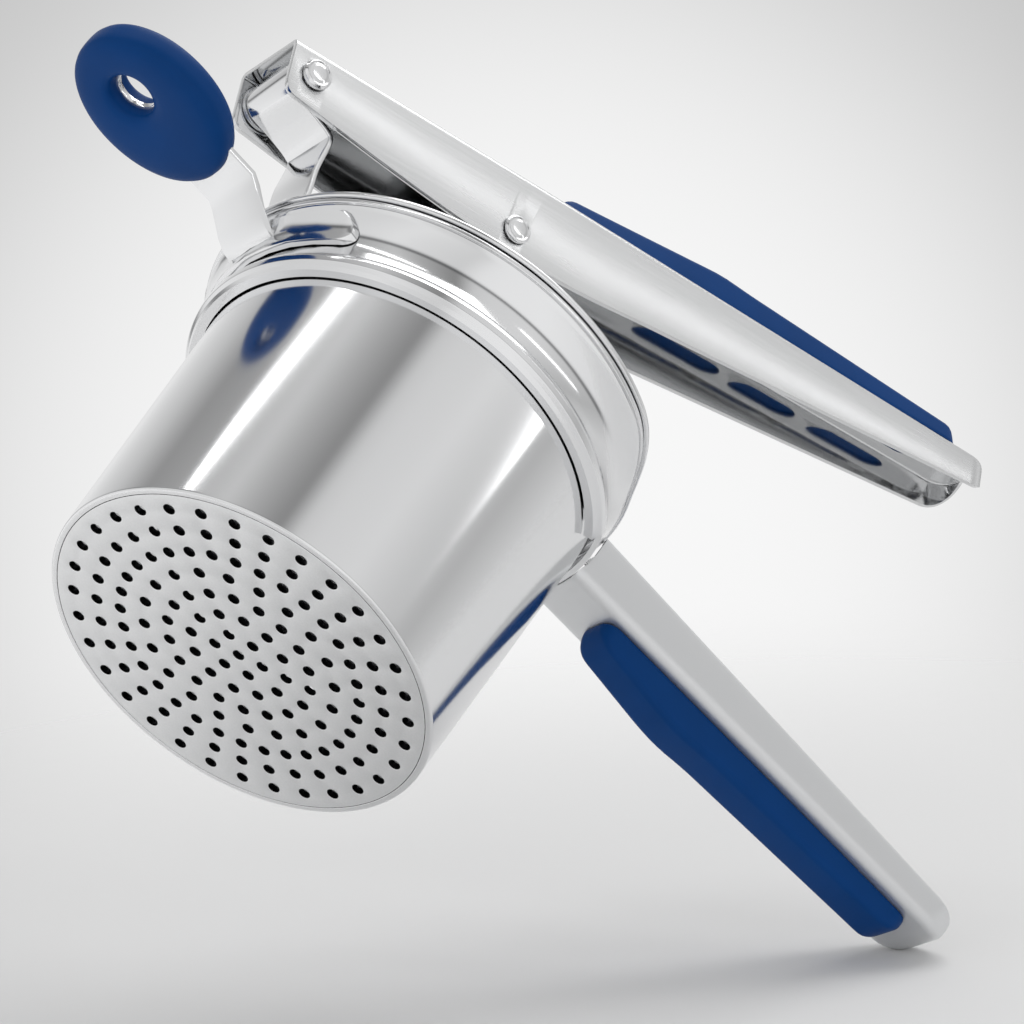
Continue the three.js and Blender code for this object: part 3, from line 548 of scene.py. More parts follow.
def perforation_tree():
    """Geometry nodes for a flat disc with rings of round holes, thickened upwards."""
    tree = bpy.data.node_groups.new("perforated_disc", "GeometryNodeTree")
    sockets = {}
    for name in ("Disc Radius", "Hole Radius", "Ring Step", "Phase", "Thickness"):
        sockets[name] = tree.interface.new_socket(
            name, in_out="INPUT", socket_type="NodeSocketFloat"
        ).identifier
    tree.interface.new_socket("Mesh", in_out="OUTPUT", socket_type="NodeSocketGeometry")

    def add(kind, output, **inputs):
        """Adds a geometry node, with spaces for underscores in its inputs' names."""
        named = {name.replace("_", " "): value for name, value in inputs.items()}
        return node(tree, "GeometryNode" + kind, named).outputs[output]

    given = node(tree, "NodeGroupInput").outputs
    centres = [add("MeshLine", "Mesh", Count=1)]
    for number, count in enumerate(HOLE_COUNTS, 1):
        radius = node(tree, "ShaderNodeMath", {0: given["Ring Step"], 1: number},
                      operation="MULTIPLY")
        centres.append(add("MeshCircle", "Mesh", Vertices=count, Radius=radius.outputs[0]))
    turn = node(tree, "ShaderNodeCombineXYZ", {"Z": given["Phase"]}).outputs["Vector"]
    joined = add("JoinGeometry", "Geometry", Geometry=centres)
    points = add("Transform", "Geometry", Geometry=joined, Rotation=turn)
    hole = add("CurvePrimitiveCircle", "Curve", Resolution=20, Radius=given["Hole Radius"])
    holes = add("InstanceOnPoints", "Instances", Points=points, Instance=hole)
    real = add("RealizeInstances", "Geometry", Geometry=holes)
    rim = add("CurvePrimitiveCircle", "Curve", Resolution=128, Radius=given["Disc Radius"])
    fill = add("FillCurve", "Mesh", Curve=add("JoinGeometry", "Geometry", Geometry=[real, rim]))
    raised = node(tree, "GeometryNodeExtrudeMesh", {
        "Mesh": fill, "Offset Scale": given["Thickness"], "Individual": False,
    }).outputs
    face = add("SetMaterial", "Geometry", Geometry=raised["Mesh"], Material=disc_steel())
    # The side walls of the holes, and the disc's rim, take the near-black steel: painted shade
    # inside the holes.
    edges = add("SetMaterial", "Geometry", Geometry=face, Selection=raised["Side"],
                Material=hole_shade_steel())
    lower = add("SetMaterial", "Geometry", Geometry=add("FlipFaces", "Mesh", Mesh=fill),
                Material=disc_steel())
    whole = add("JoinGeometry", "Geometry", Geometry=[edges, lower])
    welded = add("MergeByDistance", "Geometry", Geometry=whole, Distance=1e-6)
    node(tree, "NodeGroupOutput", {"Mesh": welded})
    return tree, sockets


class RICER_OT_perforated_base(bpy.types.Operator):
    """Punch the rings of holes through the basket's disc"""

    bl_idname = "ricer.perforated_base"
    bl_label = "Perforated base"

    def execute(self, context):
        s = sizes()
        tree, sockets = perforation_tree()
        made = new_object("perforated_disc", bpy.data.meshes.new("perforated_disc"))
        modifier = made.modifiers.new("holes", "NODES")
        modifier.node_group = tree
        modifier[sockets["Disc Radius"]] = s.basket_radius - (LIP_WIDTH + SEAM) * MM
        modifier[sockets["Hole Radius"]] = s.hole_radius
        modifier[sockets["Ring Step"]] = s.ring_step
        modifier[sockets["Phase"]] = s.hole_phase
        modifier[sockets["Thickness"]] = s.base_thickness
        applied(made)
        made.data.transform(at_basket())
        eased(made, 0.16, 2, 60)
        finished(made, "basket", "satin_steel", None, "perforated_base")
        return {"FINISHED"}


def collar_outline():
    """Closed outline of the ring: foot, bead, neck and flare."""
    s = sizes()
    bead, flange, sheet = s.bead_radius / MM, s.flange_radius / MM, s.ring_sheet / MM
    neck, inner = neck_radius(), ring_inner()
    rise = COLLAR_TOP - COLLAR_NECK - sheet
    outer = rounded([
        (bead - 1.6, COLLAR_FOOT, 0.2), (bead - 1.0, COLLAR_FOOT + 0.8, 0.5),
        (bead - 0.2, COLLAR_BEAD - 1.3, 0.6), (bead, COLLAR_BEAD, 0.7),
        (bead - 0.35, COLLAR_BEAD + 1.3, 0.6), (neck + 0.3, COLLAR_BEAD + 2.0, 0.7),
        (neck, COLLAR_NECK, 1),
    ], 4)
    flare = []
    for i in range(1, 17):
        share = i / 17
        flare.append((neck + (flange - neck) * share ** FLARE_POWER, COLLAR_NECK + rise * share))
    edge = rounded([(flange - 0.6, COLLAR_TOP - sheet, 0), (flange, COLLAR_TOP - sheet, 0.5),
                    (flange, COLLAR_TOP, 0.45), (flange - 1.5, COLLAR_TOP, 0)], 4)
    inside = [(r - sheet * 0.9, z + sheet * 0.55) for r, z in reversed(flare[3:-1])]
    lip = basket_outer(COLLAR_FOOT) + 0.4
    low = [(inner, COLLAR_NECK), (bead - 1.5, COLLAR_BEAD + 0.7), (bead - 1.5, COLLAR_BEAD - 0.5),
           (lip + 1.0, COLLAR_FOOT + 1.3), (lip, COLLAR_FOOT + 0.9), (lip, COLLAR_FOOT + 0.2)]
    return outer + flare + edge + inside + low


class RICER_OT_ring(bpy.types.Operator):
    """Spin the flared ring that carries the basket, and lay the flat ring on it"""

    bl_idname = "ricer.ring"
    bl_label = "Ring"

    def execute(self, context):
        s = sizes()
        flange, neck = s.flange_radius / MM, neck_radius()
        keep = (flange - s.narrowing / MM - neck) / (flange - neck)

        def drawn_in(radius, height, bearing):
            if radius <= neck or height < COLLAR_NECK:
                return radius, height
            share = narrowed(bearing)
            return neck + (radius - neck) * (1 - share + keep * share), height

        made = new_object("ring", to_mesh(turned(collar_outline(), 240, drawn_in), "ring",
                                          at_basket()))
        handle_floor = floor_height(s.bead_radius / MM)
        wedge = [(0, 0)]
        for step in range(-2, 3):
            bearing = math.radians(SKIRT_GAP * step / 2)
            wedge.append((WEDGE_REACH * math.cos(bearing), WEDGE_REACH * math.sin(bearing)))
        gap = lofted([[(x, y, COLLAR_FOOT - CLEAR) for x, y in wedge],
                      [(x, y, handle_floor - GAP) for x, y in wedge]])
        cut(made, to_mesh(gap, "gap", at_basket()))
        finished(made, "frame", "polished_steel", polished_steel(), "frame_ring", crease=40)

        low, high = (value.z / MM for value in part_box("top_ring"))
        inner, outer = ring_inner(), flange + TOP_OVERHANG
        plate = rounded_loop([(inner, low, 0.3), (outer, low, 0.5), (outer, high, 0.5),
                              (inner, high, 0.3)], 4)

        def drawn_rim(radius, height, bearing):
            if radius < (inner + outer) / 2:
                return radius, height
            return radius - narrowed(bearing) * s.narrowing / MM, height

        top = new_object("flat_ring", to_mesh(turned(plate, 240, drawn_rim), "flat_ring",
                                              at_basket()))
        finished(top, "frame", "polished_steel", polished_steel(), "top_ring", crease=40)
        return {"FINISHED"}


# ---- Lower handle ----------------------------------------------------------------------------

HANDLE_TIP = 165
HANDLE_TOP = 81.4
HANDLE_TOP_HALF = 10.6
HANDLE_FLOOR_HALF = 7.7
HANDLE_FLOOR = 70.6
HANDLE_RISE = 4.4
HANDLE_TIP_RADIUS = 9
HANDLE_INTO_RING = 8
HANDLE_LIP = 1.9
HANDLE_LIP_BEND = 1.7
HANDLE_FLOOR_BEND = 3.0


def floor_height(x):
    """Underside of the lower handle at a distance from the basket's axis."""
    start = sizes().bead_radius / MM
    return HANDLE_FLOOR + HANDLE_RISE * (x - start) / (HANDLE_TIP - start)


def handle_path(x, floor, inset):
    """The channel's section at x for one face, from the near lip round to the far lip."""
    corner = HANDLE_TIP_RADIUS - inset
    past = max(x - (HANDLE_TIP - inset - corner), 0)
    half = HANDLE_TOP_HALF - inset - corner + math.sqrt(max(corner * corner - past * past, 0))
    depth = (HANDLE_TOP - floor) / (HANDLE_TOP - HANDLE_FLOOR)
    foot = max(half - (HANDLE_TOP_HALF - HANDLE_FLOOR_HALF) * depth, half * 0.45)
    lip = min(HANDLE_LIP - inset, half * 0.4)
    top = HANDLE_TOP - inset
    bend = max(HANDLE_FLOOR_BEND - inset, 0.4)
    floor = min(floor, top - 0.02)
    lip_bend = max(HANDLE_LIP_BEND - inset, 0.3)
    side = [(-half + lip, top, 0), (-half, top, lip_bend), (-foot, floor, bend)]
    path = rounded([*side, *[(-y, z, r) for y, z, r in reversed(side)]], 6)
    return [(x, y, z) for y, z in path]


def handle_stations(inset):
    """Distances and underside heights along the handle, closing on its tip."""
    bend = HANDLE_TIP - HANDLE_TIP_RADIUS
    tip = HANDLE_TIP - inset
    start = sizes().bead_radius / MM - HANDLE_INTO_RING
    stations = []
    for i in range(12):
        x = start + (bend - start) * i / 12
        stations.append((x, floor_height(x) + inset))
    low = floor_height(bend) + inset
    for i in range(15):
        t = i / 14
        x = bend * (1 - t) ** 2 + (tip - 0.8) * 2 * t * (1 - t) + tip * t * t
        stations.append((x, low + (HANDLE_TOP - inset - low) * t * t))
    return stations


class RICER_OT_lower_handle(bpy.types.Operator):
    """Fold the lower handle's channel, with its boat-shaped tip"""

    bl_idname = "ricer.lower_handle"
    bl_label = "Lower handle"

    def execute(self, context):
        s = sizes()
        sheet = s.handle_sheet / MM
        rings = []
        for (x0, z0), (x1, z1) in zip(handle_stations(0), handle_stations(sheet)):
            rings.append(handle_path(x0, z0, 0) + handle_path(x1, z1, sheet)[::-1])
        made = new_object("lower_handle", to_mesh(lofted(rings), "lower_handle", at_basket()))
        outline = [(r + GAP, z) for r, z in collar_outline() if r > neck_radius() - 0.5]
        face = [(r, z) for r, z in outline if z < COLLAR_TOP - 1.5]
        brim = s.flange_radius / MM + TOP_OVERHANG - s.narrowing / MM + GAP
        face = [(min(r, brim), z) for r, z in face]
        face = sorted(set(face), key=lambda point: point[1])
        space = [(0, COLLAR_FOOT - CLEAR), (face[0][0], COLLAR_FOOT - CLEAR), *face,
                 (brim, COLLAR_TOP - 1), (brim, HANDLE_TOP + CLEAR), (0, HANDLE_TOP + CLEAR)]
        cut(made, to_mesh(turned(space, 160), "space", at_basket()))
        finished(made, "frame", "satin_steel", satin_steel(), "lower_handle", crease=45)
        return {"FINISHED"}


# ---- Grips -----------------------------------------------------------------------------------

GRIP_CORNER = 3.4
LOWER_GRIP_HALF = 5.5
LOWER_GRIP = ((59, 4.4), (82, 7.4), (88, 7.6), (95, 6.7), (155, 4.4))
LOWER_GRIP_END = 5
UPPER_GRIP_HALF = 7.5
UPPER_GRIP = ((67, 3.6), (105, 7.2), (112, 7.9), (120, 7.3), (184.5, 4.8))
UPPER_GRIP_END = 4
GRIP_SOFTENING = 3


def grip_rings(start, end, half_width, rise, base, outward, corner=1.7):
    """Rings of a grip: rise(x) is its thickness, base(x) the face that it lies on."""
    rings = []
    plan = GRIP_CORNER
    count = 60
    for i in range(count + 1):
        share = (1 - math.cos(math.pi * i / count)) / 2
        x = start + (end - start) * share
        past = max(plan - (x - start), plan - (end - x), 0)
        half = half_width - plan + math.sqrt(max(plan * plan - past * past, 0.04))
        thick = max(rise(x), 0.25)
        crown = min(half * 0.14, thick * 0.3)
        round_ = min(corner, thick * 0.6)
        path = rounded([(half, 0, 0), (half, thick * 0.12, 0.3), (half - crown, thick, round_),
                        (crown - half, thick, round_), (-half, thick * 0.12, 0.3),
                        (-half, 0, 0)], 6)
        rings.append([(x, y, base(x) + outward * z) for y, z in path])
    return rings


def profile_height(x, knots):
    """Height at x on the straight lines between knots of (x, height)."""
    for (x0, h0), (x1, h1) in zip(knots, knots[1:]):
        if x <= x1:
            t = min(max((x - x0) / (x1 - x0), 0), 1)
            return h0 + (h1 - h0) * t
    return knots[-1][1]


def eased_profile(knots, radius):
    """A thickness function through knots, averaged over a length to soften its corners."""
    def height(x):
        samples = [profile_height(x + radius * k / 4, knots) for k in range(-4, 5)]
        return sum(samples) / len(samples)
    return height


def end_round(x, start, end, reach):
    """1 in a grip's middle, falling to 0 in a quarter round at both ends."""
    near = min((x - start) / reach, (end - x) / reach, 1)
    return math.sqrt(max(1 - (1 - max(near, 0)) ** 2, 0))


class RICER_OT_grips(bpy.types.Operator):
    """Mould the two soft grips, each with its thumb ridge"""

    bl_idname = "ricer.grips"
    bl_label = "Grips"

    def execute(self, context):
        start, end = LOWER_GRIP[0][0], LOWER_GRIP[-1][0]
        low = eased_profile(LOWER_GRIP, GRIP_SOFTENING)
        rings = grip_rings(
            start, end, LOWER_GRIP_HALF,
            lambda x: low(x) * end_round(x, start, end, LOWER_GRIP_END),
            lambda x: floor_height(x) - GAP, -1,
        )
        made = new_object("lower_grip", to_mesh(lofted(rings), "lower_grip", at_basket()))
        finished(made, "frame", "blue_rubber", soft_rubber(), "lower_grip", crease=50)

        start, end = UPPER_GRIP[0][0], UPPER_GRIP[-1][0]
        high = eased_profile(UPPER_GRIP, GRIP_SOFTENING)
        rings = grip_rings(
            start, end, UPPER_GRIP_HALF,
            lambda x: high(x) * end_round(x, start, end, UPPER_GRIP_END),
            lambda x: LEVER_TOP + GAP, 1,
        )
        made = new_object("upper_grip", to_mesh(lofted(rings), "upper_grip", at_hinge()))
        finished(made, "lever", "blue_rubber", soft_rubber(), "upper_grip", crease=50)
        return {"FINISHED"}


# ---- Bracket and rest tab --------------------------------------------------------------------

BRACKET_SHEET = 1.3
BRACKET_WIDTH = 15.2
TAB_HOLE_BACK = 4.7
TAB_HOLE_RADIUS = 5.0
# The sleeve's lower half: share of the way from hole to rim, and share of its half thickness.
TAB_PROFILE = (
    (0.0, -0.62), (0.02, -0.8), (0.09, -0.93), (0.2, -0.985), (0.38, -1), (0.58, -0.985),
    (0.76, -0.93), (0.88, -0.82), (0.955, -0.66), (0.99, -0.45), (1.0, -0.2), (1.0, 0.2),
)


class RICER_OT_bracket(bpy.types.Operator):
    """Bend the strip that joins the ring to the hinge pin"""

    bl_idname = "ricer.bracket"
    bl_label = "Hinge bracket"

    def execute(self, context):
        sheet = BRACKET_SHEET
        bush = centre_of("hinge_bush")
        low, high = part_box("hinge_bush")
        eye = (high.z - low.z) / 2 / MM + GAP + sheet / 2
        box_low, box_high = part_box("hinge_bracket")
        foot_z = box_low.z / MM + sheet / 2
        foot_x = box_high.x / MM - sheet / 2
        hinge_x, hinge_z = bush.x / MM, bush.z / MM
        eye_z = hinge_z - eye
        points = [(foot_x - 3.6, foot_z), (foot_x - 1.6, foot_z), (foot_x - 0.45, foot_z + 0.35),
                  (foot_x - 0.05, foot_z + 1.5), (foot_x - 0.9, foot_z + 7),
                  (foot_x - 2.6, foot_z + 12.5), (foot_x - 3.8, eye_z - 2.4),
                  (foot_x - 5.4, eye_z - 0.8), (hinge_x + 5, eye_z - 0.15)]
        for i in range(16):
            turn = math.radians(-90 - 285 * i / 15)
            points.append((hinge_x + eye * math.cos(turn), hinge_z + eye * math.sin(turn)))
        strip = banded(smooth_curve(points, 6), sheet, BRACKET_WIDTH, 0.35)
        made = new_object("hinge_bracket", to_mesh(strip, "hinge_bracket"))
        finished(made, "frame", "polished_steel", polished_steel(), "hinge_bracket", crease=40)
        return {"FINISHED"}


class RICER_OT_rest_tab(bpy.types.Operator):
    """Shape the hanging tab: its steel tongue and the soft sleeve round it"""

    bl_idname = "ricer.rest_tab"
    bl_label = "Rest tab"

    def execute(self, context):
        made = merged_copy("rest_tab", "rest_tab")
        eased(made, 0.2, 2, 40)
        finished(made, "frame", "polished_steel", polished_steel(), "rest_tab", crease=40)

        low, high = (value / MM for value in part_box("tab_sleeve"))
        centre = (low + high) / 2
        half = (high - low) / 2
        hole_x, hole_r = centre.x - TAB_HOLE_BACK, TAB_HOLE_RADIUS
        rows = []
        profile = [*TAB_PROFILE]
        profile += [(share, -height) for share, height in reversed(TAB_PROFILE[:-1])]
        for share, height in profile:
            row = []
            for i in range(112):
                turn = 2 * math.pi * i / 112
                inner = Vector((hole_x + hole_r * math.cos(turn), hole_r * math.sin(turn)))
                outer = Vector((centre.x + half.x * math.cos(turn), half.y * math.sin(turn)))
                place = inner.lerp(outer, share)
                row.append((place.x, place.y, centre.z + half.z * height))
            rows.append(row)
        sleeve = new_object("tab_sleeve", to_mesh(lofted(rows, around=True), "tab_sleeve"))
        finished(sleeve, "frame", "blue_rubber", soft_rubber(), "tab_sleeve", crease=60)
        return {"FINISHED"}


# ---- Lever -----------------------------------------------------------------------------------

LEVER_HEEL = 5.9
LEVER_TIP = 195
LEVER_TOP = 6.5
LEVER_HALF = 10.25
LEVER_TIP_HALF = 8.6
LEVER_TIP_RADIUS = 7
TAPER_FROM = 65
WINDOWS = ((106.5, 130.5), (134.5, 153), (158, 179.5))
WINDOW_HALF = 4.3
HEEL_DEPTH = 13.6
HEEL_RADIUS = 3.5
BELLY_DEPTH = 19.8
TIP_DEPTH = 8
HINGE_HOLE = 2.8
PLUNGER_HOLE = 2.6


def quadratic(a, b, c, count):
    """Points on a quadratic curve from a towards c, without c."""
    points = []
    for i in range(count):
        t = i / count
        points.append(Vector(a) * (1 - t) ** 2 + Vector(b) * 2 * t * (1 - t) + Vector(c) * t * t)
    return points


def lever_edge(inset):
    """Lower edge of the lever's side walls, from heel to tip, as (x, z)."""
    heel, belly, tip = LEVER_TOP - HEEL_DEPTH, LEVER_TOP - BELLY_DEPTH, LEVER_TOP - TIP_DEPTH
    rear = -LEVER_HEEL
    end = LEVER_TIP - inset
    return [
        *quadratic((rear, heel + HEEL_RADIUS), (rear, heel), (rear + HEEL_RADIUS, heel), 6),
        *quadratic((rear + HEEL_RADIUS, heel), (36.9, belly + 0.6), (56.9, belly), 14),
        *quadratic((56.9, belly), (70.9, belly - 0.2), (88.9, belly + 2.1), 8),
        *quadratic((88.9, belly + 2.1), (138, belly / 2 + tip / 2 + 1), (188, tip), 8),
        *quadratic((188, tip), (end, tip + 0.5), (end, LEVER_TOP - inset), 14),
        Vector((end, LEVER_TOP - inset - 0.02)),
    ]


def lever_section(x, low, inset, bend):
    """The channel's section at x, from the near wall's lower edge over the web to the far one."""
    corner = LEVER_TIP_RADIUS - inset
    run = LEVER_TIP - LEVER_TIP_RADIUS
    taper = min(max((x - TAPER_FROM) / (run - TAPER_FROM), 0), 1)
    half = LEVER_HALF + (LEVER_TIP_HALF - LEVER_HALF) * taper - inset
    past = max(x - run, 0)
    half += math.sqrt(max(corner * corner - past * past, 0)) - corner
    top = LEVER_TOP - inset
    low = min(low, top - 0.02)
    path = rounded([(-half, low, 0), (-half, top, bend), (half, top, bend), (half, low, 0)], 6)
    return [(x, y, z) for y, z in path]


def slot_cutter(x0, x1, half, low, high):
    """A cutter for a window with round ends."""
    ring = []
    for centre, first in ((x1 - half, -90), (x0 + half, 90)):
        for i in range(11):
            turn = math.radians(first + 18 * i)
            ring.append((centre + half * math.cos(turn), half * math.sin(turn)))
    return lofted([[(x, y, low) for x, y in ring], [(x, y, high) for x, y in ring]])


def pin_cutter(radius, x, z):
    """A cutter for a pin's hole through both side walls."""
    tool = turned([(0, -15), (radius, -15), (radius, 15), (0, 15)], 40)
    tool.transform(Matrix.Translation((x, 0, z)) @ Matrix.Rotation(math.pi / 2, 4, "X"))
    return tool


class RICER_OT_lever(bpy.types.Operator):
    """Fold the lever's channel and punch its windows and pin holes"""

    bl_idname = "ricer.lever"
    bl_label = "Lever"

    def execute(self, context):
        s = sizes()
        sheet, bend = s.lever_sheet / MM, s.bend_radius / MM
        rings = []
        for outer, inner in zip(lever_edge(0), lever_edge(sheet)):
            ring = lever_section(outer.x, outer.y, 0, bend)
            rings.append(ring + lever_section(inner.x, inner.y, sheet, bend - sheet)[::-1])
        made = new_object("lever", to_mesh(lofted(rings), "lever", at_hinge()))
        place = at_hinge()
        for x0, x1 in WINDOWS:
            window = slot_cutter(x0, x1, WINDOW_HALF, LEVER_TOP - 3, LEVER_TOP + 3)
            cut(made, to_mesh(window, "window", place))
        pin = place.inverted() @ PLUNGER
        cut(made, to_mesh(pin_cutter(HINGE_HOLE, 0, 0), "pin_hole", place))
        cut(made, to_mesh(pin_cutter(PLUNGER_HOLE, pin.x / MM, pin.z / MM), "pin_hole", place))
        eased(made, 0.3, 2, 50)
        finished(made, "lever", "satin_steel", lever_steel(), "lever", crease=40)
        made.data.materials.append(inner_painted_shade_steel())
        # Faces inside the channel take the darker steel: painted shade.
        back = place.inverted()
        for polygon in made.data.polygons:
            centre = back @ polygon.center / MM
            facing = back.to_3x3() @ polygon.normal
            inward = facing.y * centre.y < -1 or facing.z < -0.7
            if inward and centre.z < LEVER_TOP - sheet + 0.05:
                polygon.material_index = 1
        return {"FINISHED"}


# ---- Pins and small turned pieces ------------------------------------------------------------

HINGE_PIN = (2.5, 3.3, 1.6)
PLUNGER_PIN = (2.3, 3.2, 1.2)
PLATE_SHEET = 1.3
PLATE_BORE = 2.7
RIVET_SHANK = 2.4
RIVET_HEAD = 4.6
RIVET_HEAD_HEIGHT = 1.3
RIVET_DEPTH = 7


def across(place):
    """Turns a piece made about Z to lie along Y at a place."""
    return place @ Matrix.Rotation(math.pi / 2, 4, "X")


def rivet_pin(shank, head, height, face):
    """Outline of a pin with a dished, ringed head at both ends."""
    end = face + height
    top = [(shank, 0, 0), (shank, face, 0.05), (head, face, 0.2),
           (head, face + height * 0.55, 0.25), (head * 0.86, end - 0.1, 0.25),
           (head * 0.72, end - 0.32, 0.2), (head * 0.5, end - 0.12, 0.5), (0, end, 0)]
    half = rounded(top, 4)
    return [(r, -z) for r, z in reversed(half[1:])] + half[1:]


class RICER_OT_pins(bpy.types.Operator):
    """Turn the two pins and head them over like rivets"""

    bl_idname = "ricer.pins"
    bl_label = "Pins"

    def execute(self, context):
        for node, place, pin in (
            ("hinge_pin", at_hinge(), HINGE_PIN),
            ("plunger_pin", Matrix.Translation(PLUNGER), PLUNGER_PIN),
        ):
            outline = rivet_pin(*pin, LEVER_HALF + GAP)
            made = new_object(node, to_mesh(turned(outline, 64), node, across(place)))
            finished(made, "lever", "polished_steel", polished_steel(), node, crease=35)
        return {"FINISHED"}


def tube(node, bore, body, material):
    """A turned tube about a pin, from its node's box."""
    low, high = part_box(node)
    radius = (high.z - low.z) / 2 / MM
    half = (high.y - low.y) / 2 / MM
    outline = rounded_loop([(bore, -half, 0.1), (radius, -half, 0.15), (radius, half, 0.15),
                            (bore, half, 0.1)], 3)
    place = across(Matrix.Translation((low + high) / 2))
    made = new_object(node, to_mesh(turned(outline, 64), node, place))
    return finished(made, body, "satin_steel", material, node)


class RICER_OT_washers(bpy.types.Operator):
    """Turn the bush, washers and spacers on the pins"""

    bl_idname = "ricer.washers"
    bl_label = "Bush, washers and spacers"

    def execute(self, context):
        tube("hinge_bush", HINGE_HOLE, "lever", satin_steel())
        for side in ("near", "far"):
            tube(f"hinge_washer_{side}", HINGE_HOLE, "lever", satin_steel())
            tube(f"plunger_spacer_{side}", PLUNGER_HOLE, "lever", satin_steel())
        return {"FINISHED"}


class RICER_OT_plunger(bpy.types.Operator):
    """Make the stem, the press plate and the rivet that holds them"""

    bl_idname = "ricer.plunger"
    bl_label = "Plunger"

    def execute(self, context):
        made = merged_copy("plunger_stem", "plunger_stem")
        eased(made, 0.3, 2, 35)
        finished(made, "plunger", "satin_steel", satin_steel(), "plunger_stem", crease=35)

        place = at_plunger()
        back = place.inverted()
        corners = [back @ v.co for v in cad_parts["press_plate"].data.vertices]
        low = min(c.z for c in corners) / MM
        rim = max(c.z for c in corners) / MM
        left = min(c.x for c in corners) / MM
        right = max(c.x for c in corners) / MM
        radius, offset, sheet = (right - left) / 2, (right + left) / 2, PLATE_SHEET
        plate_place = place @ Matrix.Translation((offset * MM, 0, 0))
        plate = rounded_loop([
            (PLATE_BORE, low, 0.1), (radius - 0.6, low, 0.6), (radius, low + 1, 0.6),
            (radius, rim, 0.4),
            (radius - sheet, rim, 0.4), (radius - sheet, low + sheet, 0.8),
            (PLATE_BORE, low + sheet, 0.1),
        ], 4)
        made = new_object("press_plate", to_mesh(turned(plate, 128), "press_plate", plate_place))
        finished(made, "plunger", "satin_steel", satin_steel(), "press_plate")

        head = low - GAP
        foot, top = head - RIVET_HEAD_HEIGHT, low + sheet + RIVET_DEPTH
        rivet = rounded([
            (0, foot, 0), (RIVET_HEAD - 1, foot, 0.6), (RIVET_HEAD, head - GAP, 0.3),
            (RIVET_HEAD, head, 0.1), (RIVET_SHANK, head, 0.1), (RIVET_SHANK, top, 0.4), (0, top, 0),
        ], 3)
        made = new_object("plate_rivet", to_mesh(turned(rivet, 64), "plate_rivet", plate_place))
        finished(made, "plunger", "satin_steel", satin_steel(), "plate_rivet")
        return {"FINISHED"}


# ---- Stage -----------------------------------------------------------------------------------

AIM = Vector((-0.0025, 0, 0.0759))
# Name, bearing, elevation and slope in degrees, length, width, radiance, and distance.
LIGHT_CARDS = (
    ("strip_left", -166, 35.3, 26, 1.2, 0.09, 5.0, 2.0),
    ("strip_right", -70, 35.3, -9.6, 1.2, 0.085, 2.8, 2.0),
    ("key_panel", -150, 68, 0, 1.3, 1.1, 3.0, 1.6),
)
# Brightness of the surroundings: share of a turn (0.5 is the camera's side), and grey.
PANEL_STOPS = (
    (0.0, 0.74), (0.08, 0.86), (0.17, 0.6), (0.23, 0.32), (0.3, 0.4), (0.36, 0.62),
    (0.4, 0.44), (0.448, 0.26), (0.474, 0.66), (0.5, 0.72), (0.57, 0.76), (0.65, 0.58),
    (0.69, 0.5), (0.76, 0.7), (0.82, 0.66), (0.9, 0.4), (0.96, 0.8), (1.0, 0.74),
)
HORIZON_HEIGHT = 0.1
FLOOR_RADIUS = 0.45
FLOOR_TILT = 0.17
FLOOR_DROP = 0.001


def direction(bearing, elevation):
    """Unit vector at a bearing and an elevation, in radians."""
    return Vector((math.cos(bearing) * math.cos(elevation),
                   math.sin(bearing) * math.cos(elevation), math.sin(elevation)))


def light_card(name, bearing, elevation, slope, long_side, short_side, radiance, away):
    """A glowing panel at a bearing and elevation in degrees, its length turned by a slope.
    The camera does not see it; polished faces do."""
    toward = direction(math.radians(bearing), math.radians(elevation))
    side = Vector((-toward.y, toward.x, 0)).normalized()
    up = toward.cross(side)
    along = side * math.cos(math.radians(slope)) + up * math.sin(math.radians(slope))
    over = toward.cross(along).normalized()
    centre = AIM + toward * away
    corners = [centre + along * (a * long_side / 2) + over * (b * short_side / 2)
               for a, b in ((-1, -1), (-1, 1), (1, 1), (1, -1))]
    data = bpy.data.meshes.new(name)
    data.from_pydata(corners, [], [(0, 1, 2, 3)])
    material, tree = new_material(name)
    glow = node(tree, "ShaderNodeEmission", {"Strength": radiance})
    node(tree, "ShaderNodeOutputMaterial", {"Surface": glow.outputs["Emission"]})
    data.materials.append(material)
    card = new_object(name, data)
    card.visible_camera = False
    card.visible_shadow = False
    return card


def eased_range(tree, value, start, end, low, high):
    """Maps a value from one range to another with soft ends."""
    ends = {"From Min": start, "From Max": end, "To Min": low, "To Max": high}
    return node(tree, "ShaderNodeMapRange", {"Value": value, **ends},
                interpolation_type="SMOOTHSTEP").outputs["Result"]


def math_node(tree, operation, *values):
    """Result of a math node with the given inputs."""
    return node(tree, "ShaderNodeMath", dict(enumerate(values)), operation=operation).outputs[0]


def blend(tree, factor, low, high):
    """Mixes two colours."""
    return node(tree, "ShaderNodeMix", {"Factor": factor, "A": low, "B": high},
                data_type="RGBA").outputs["Result"]


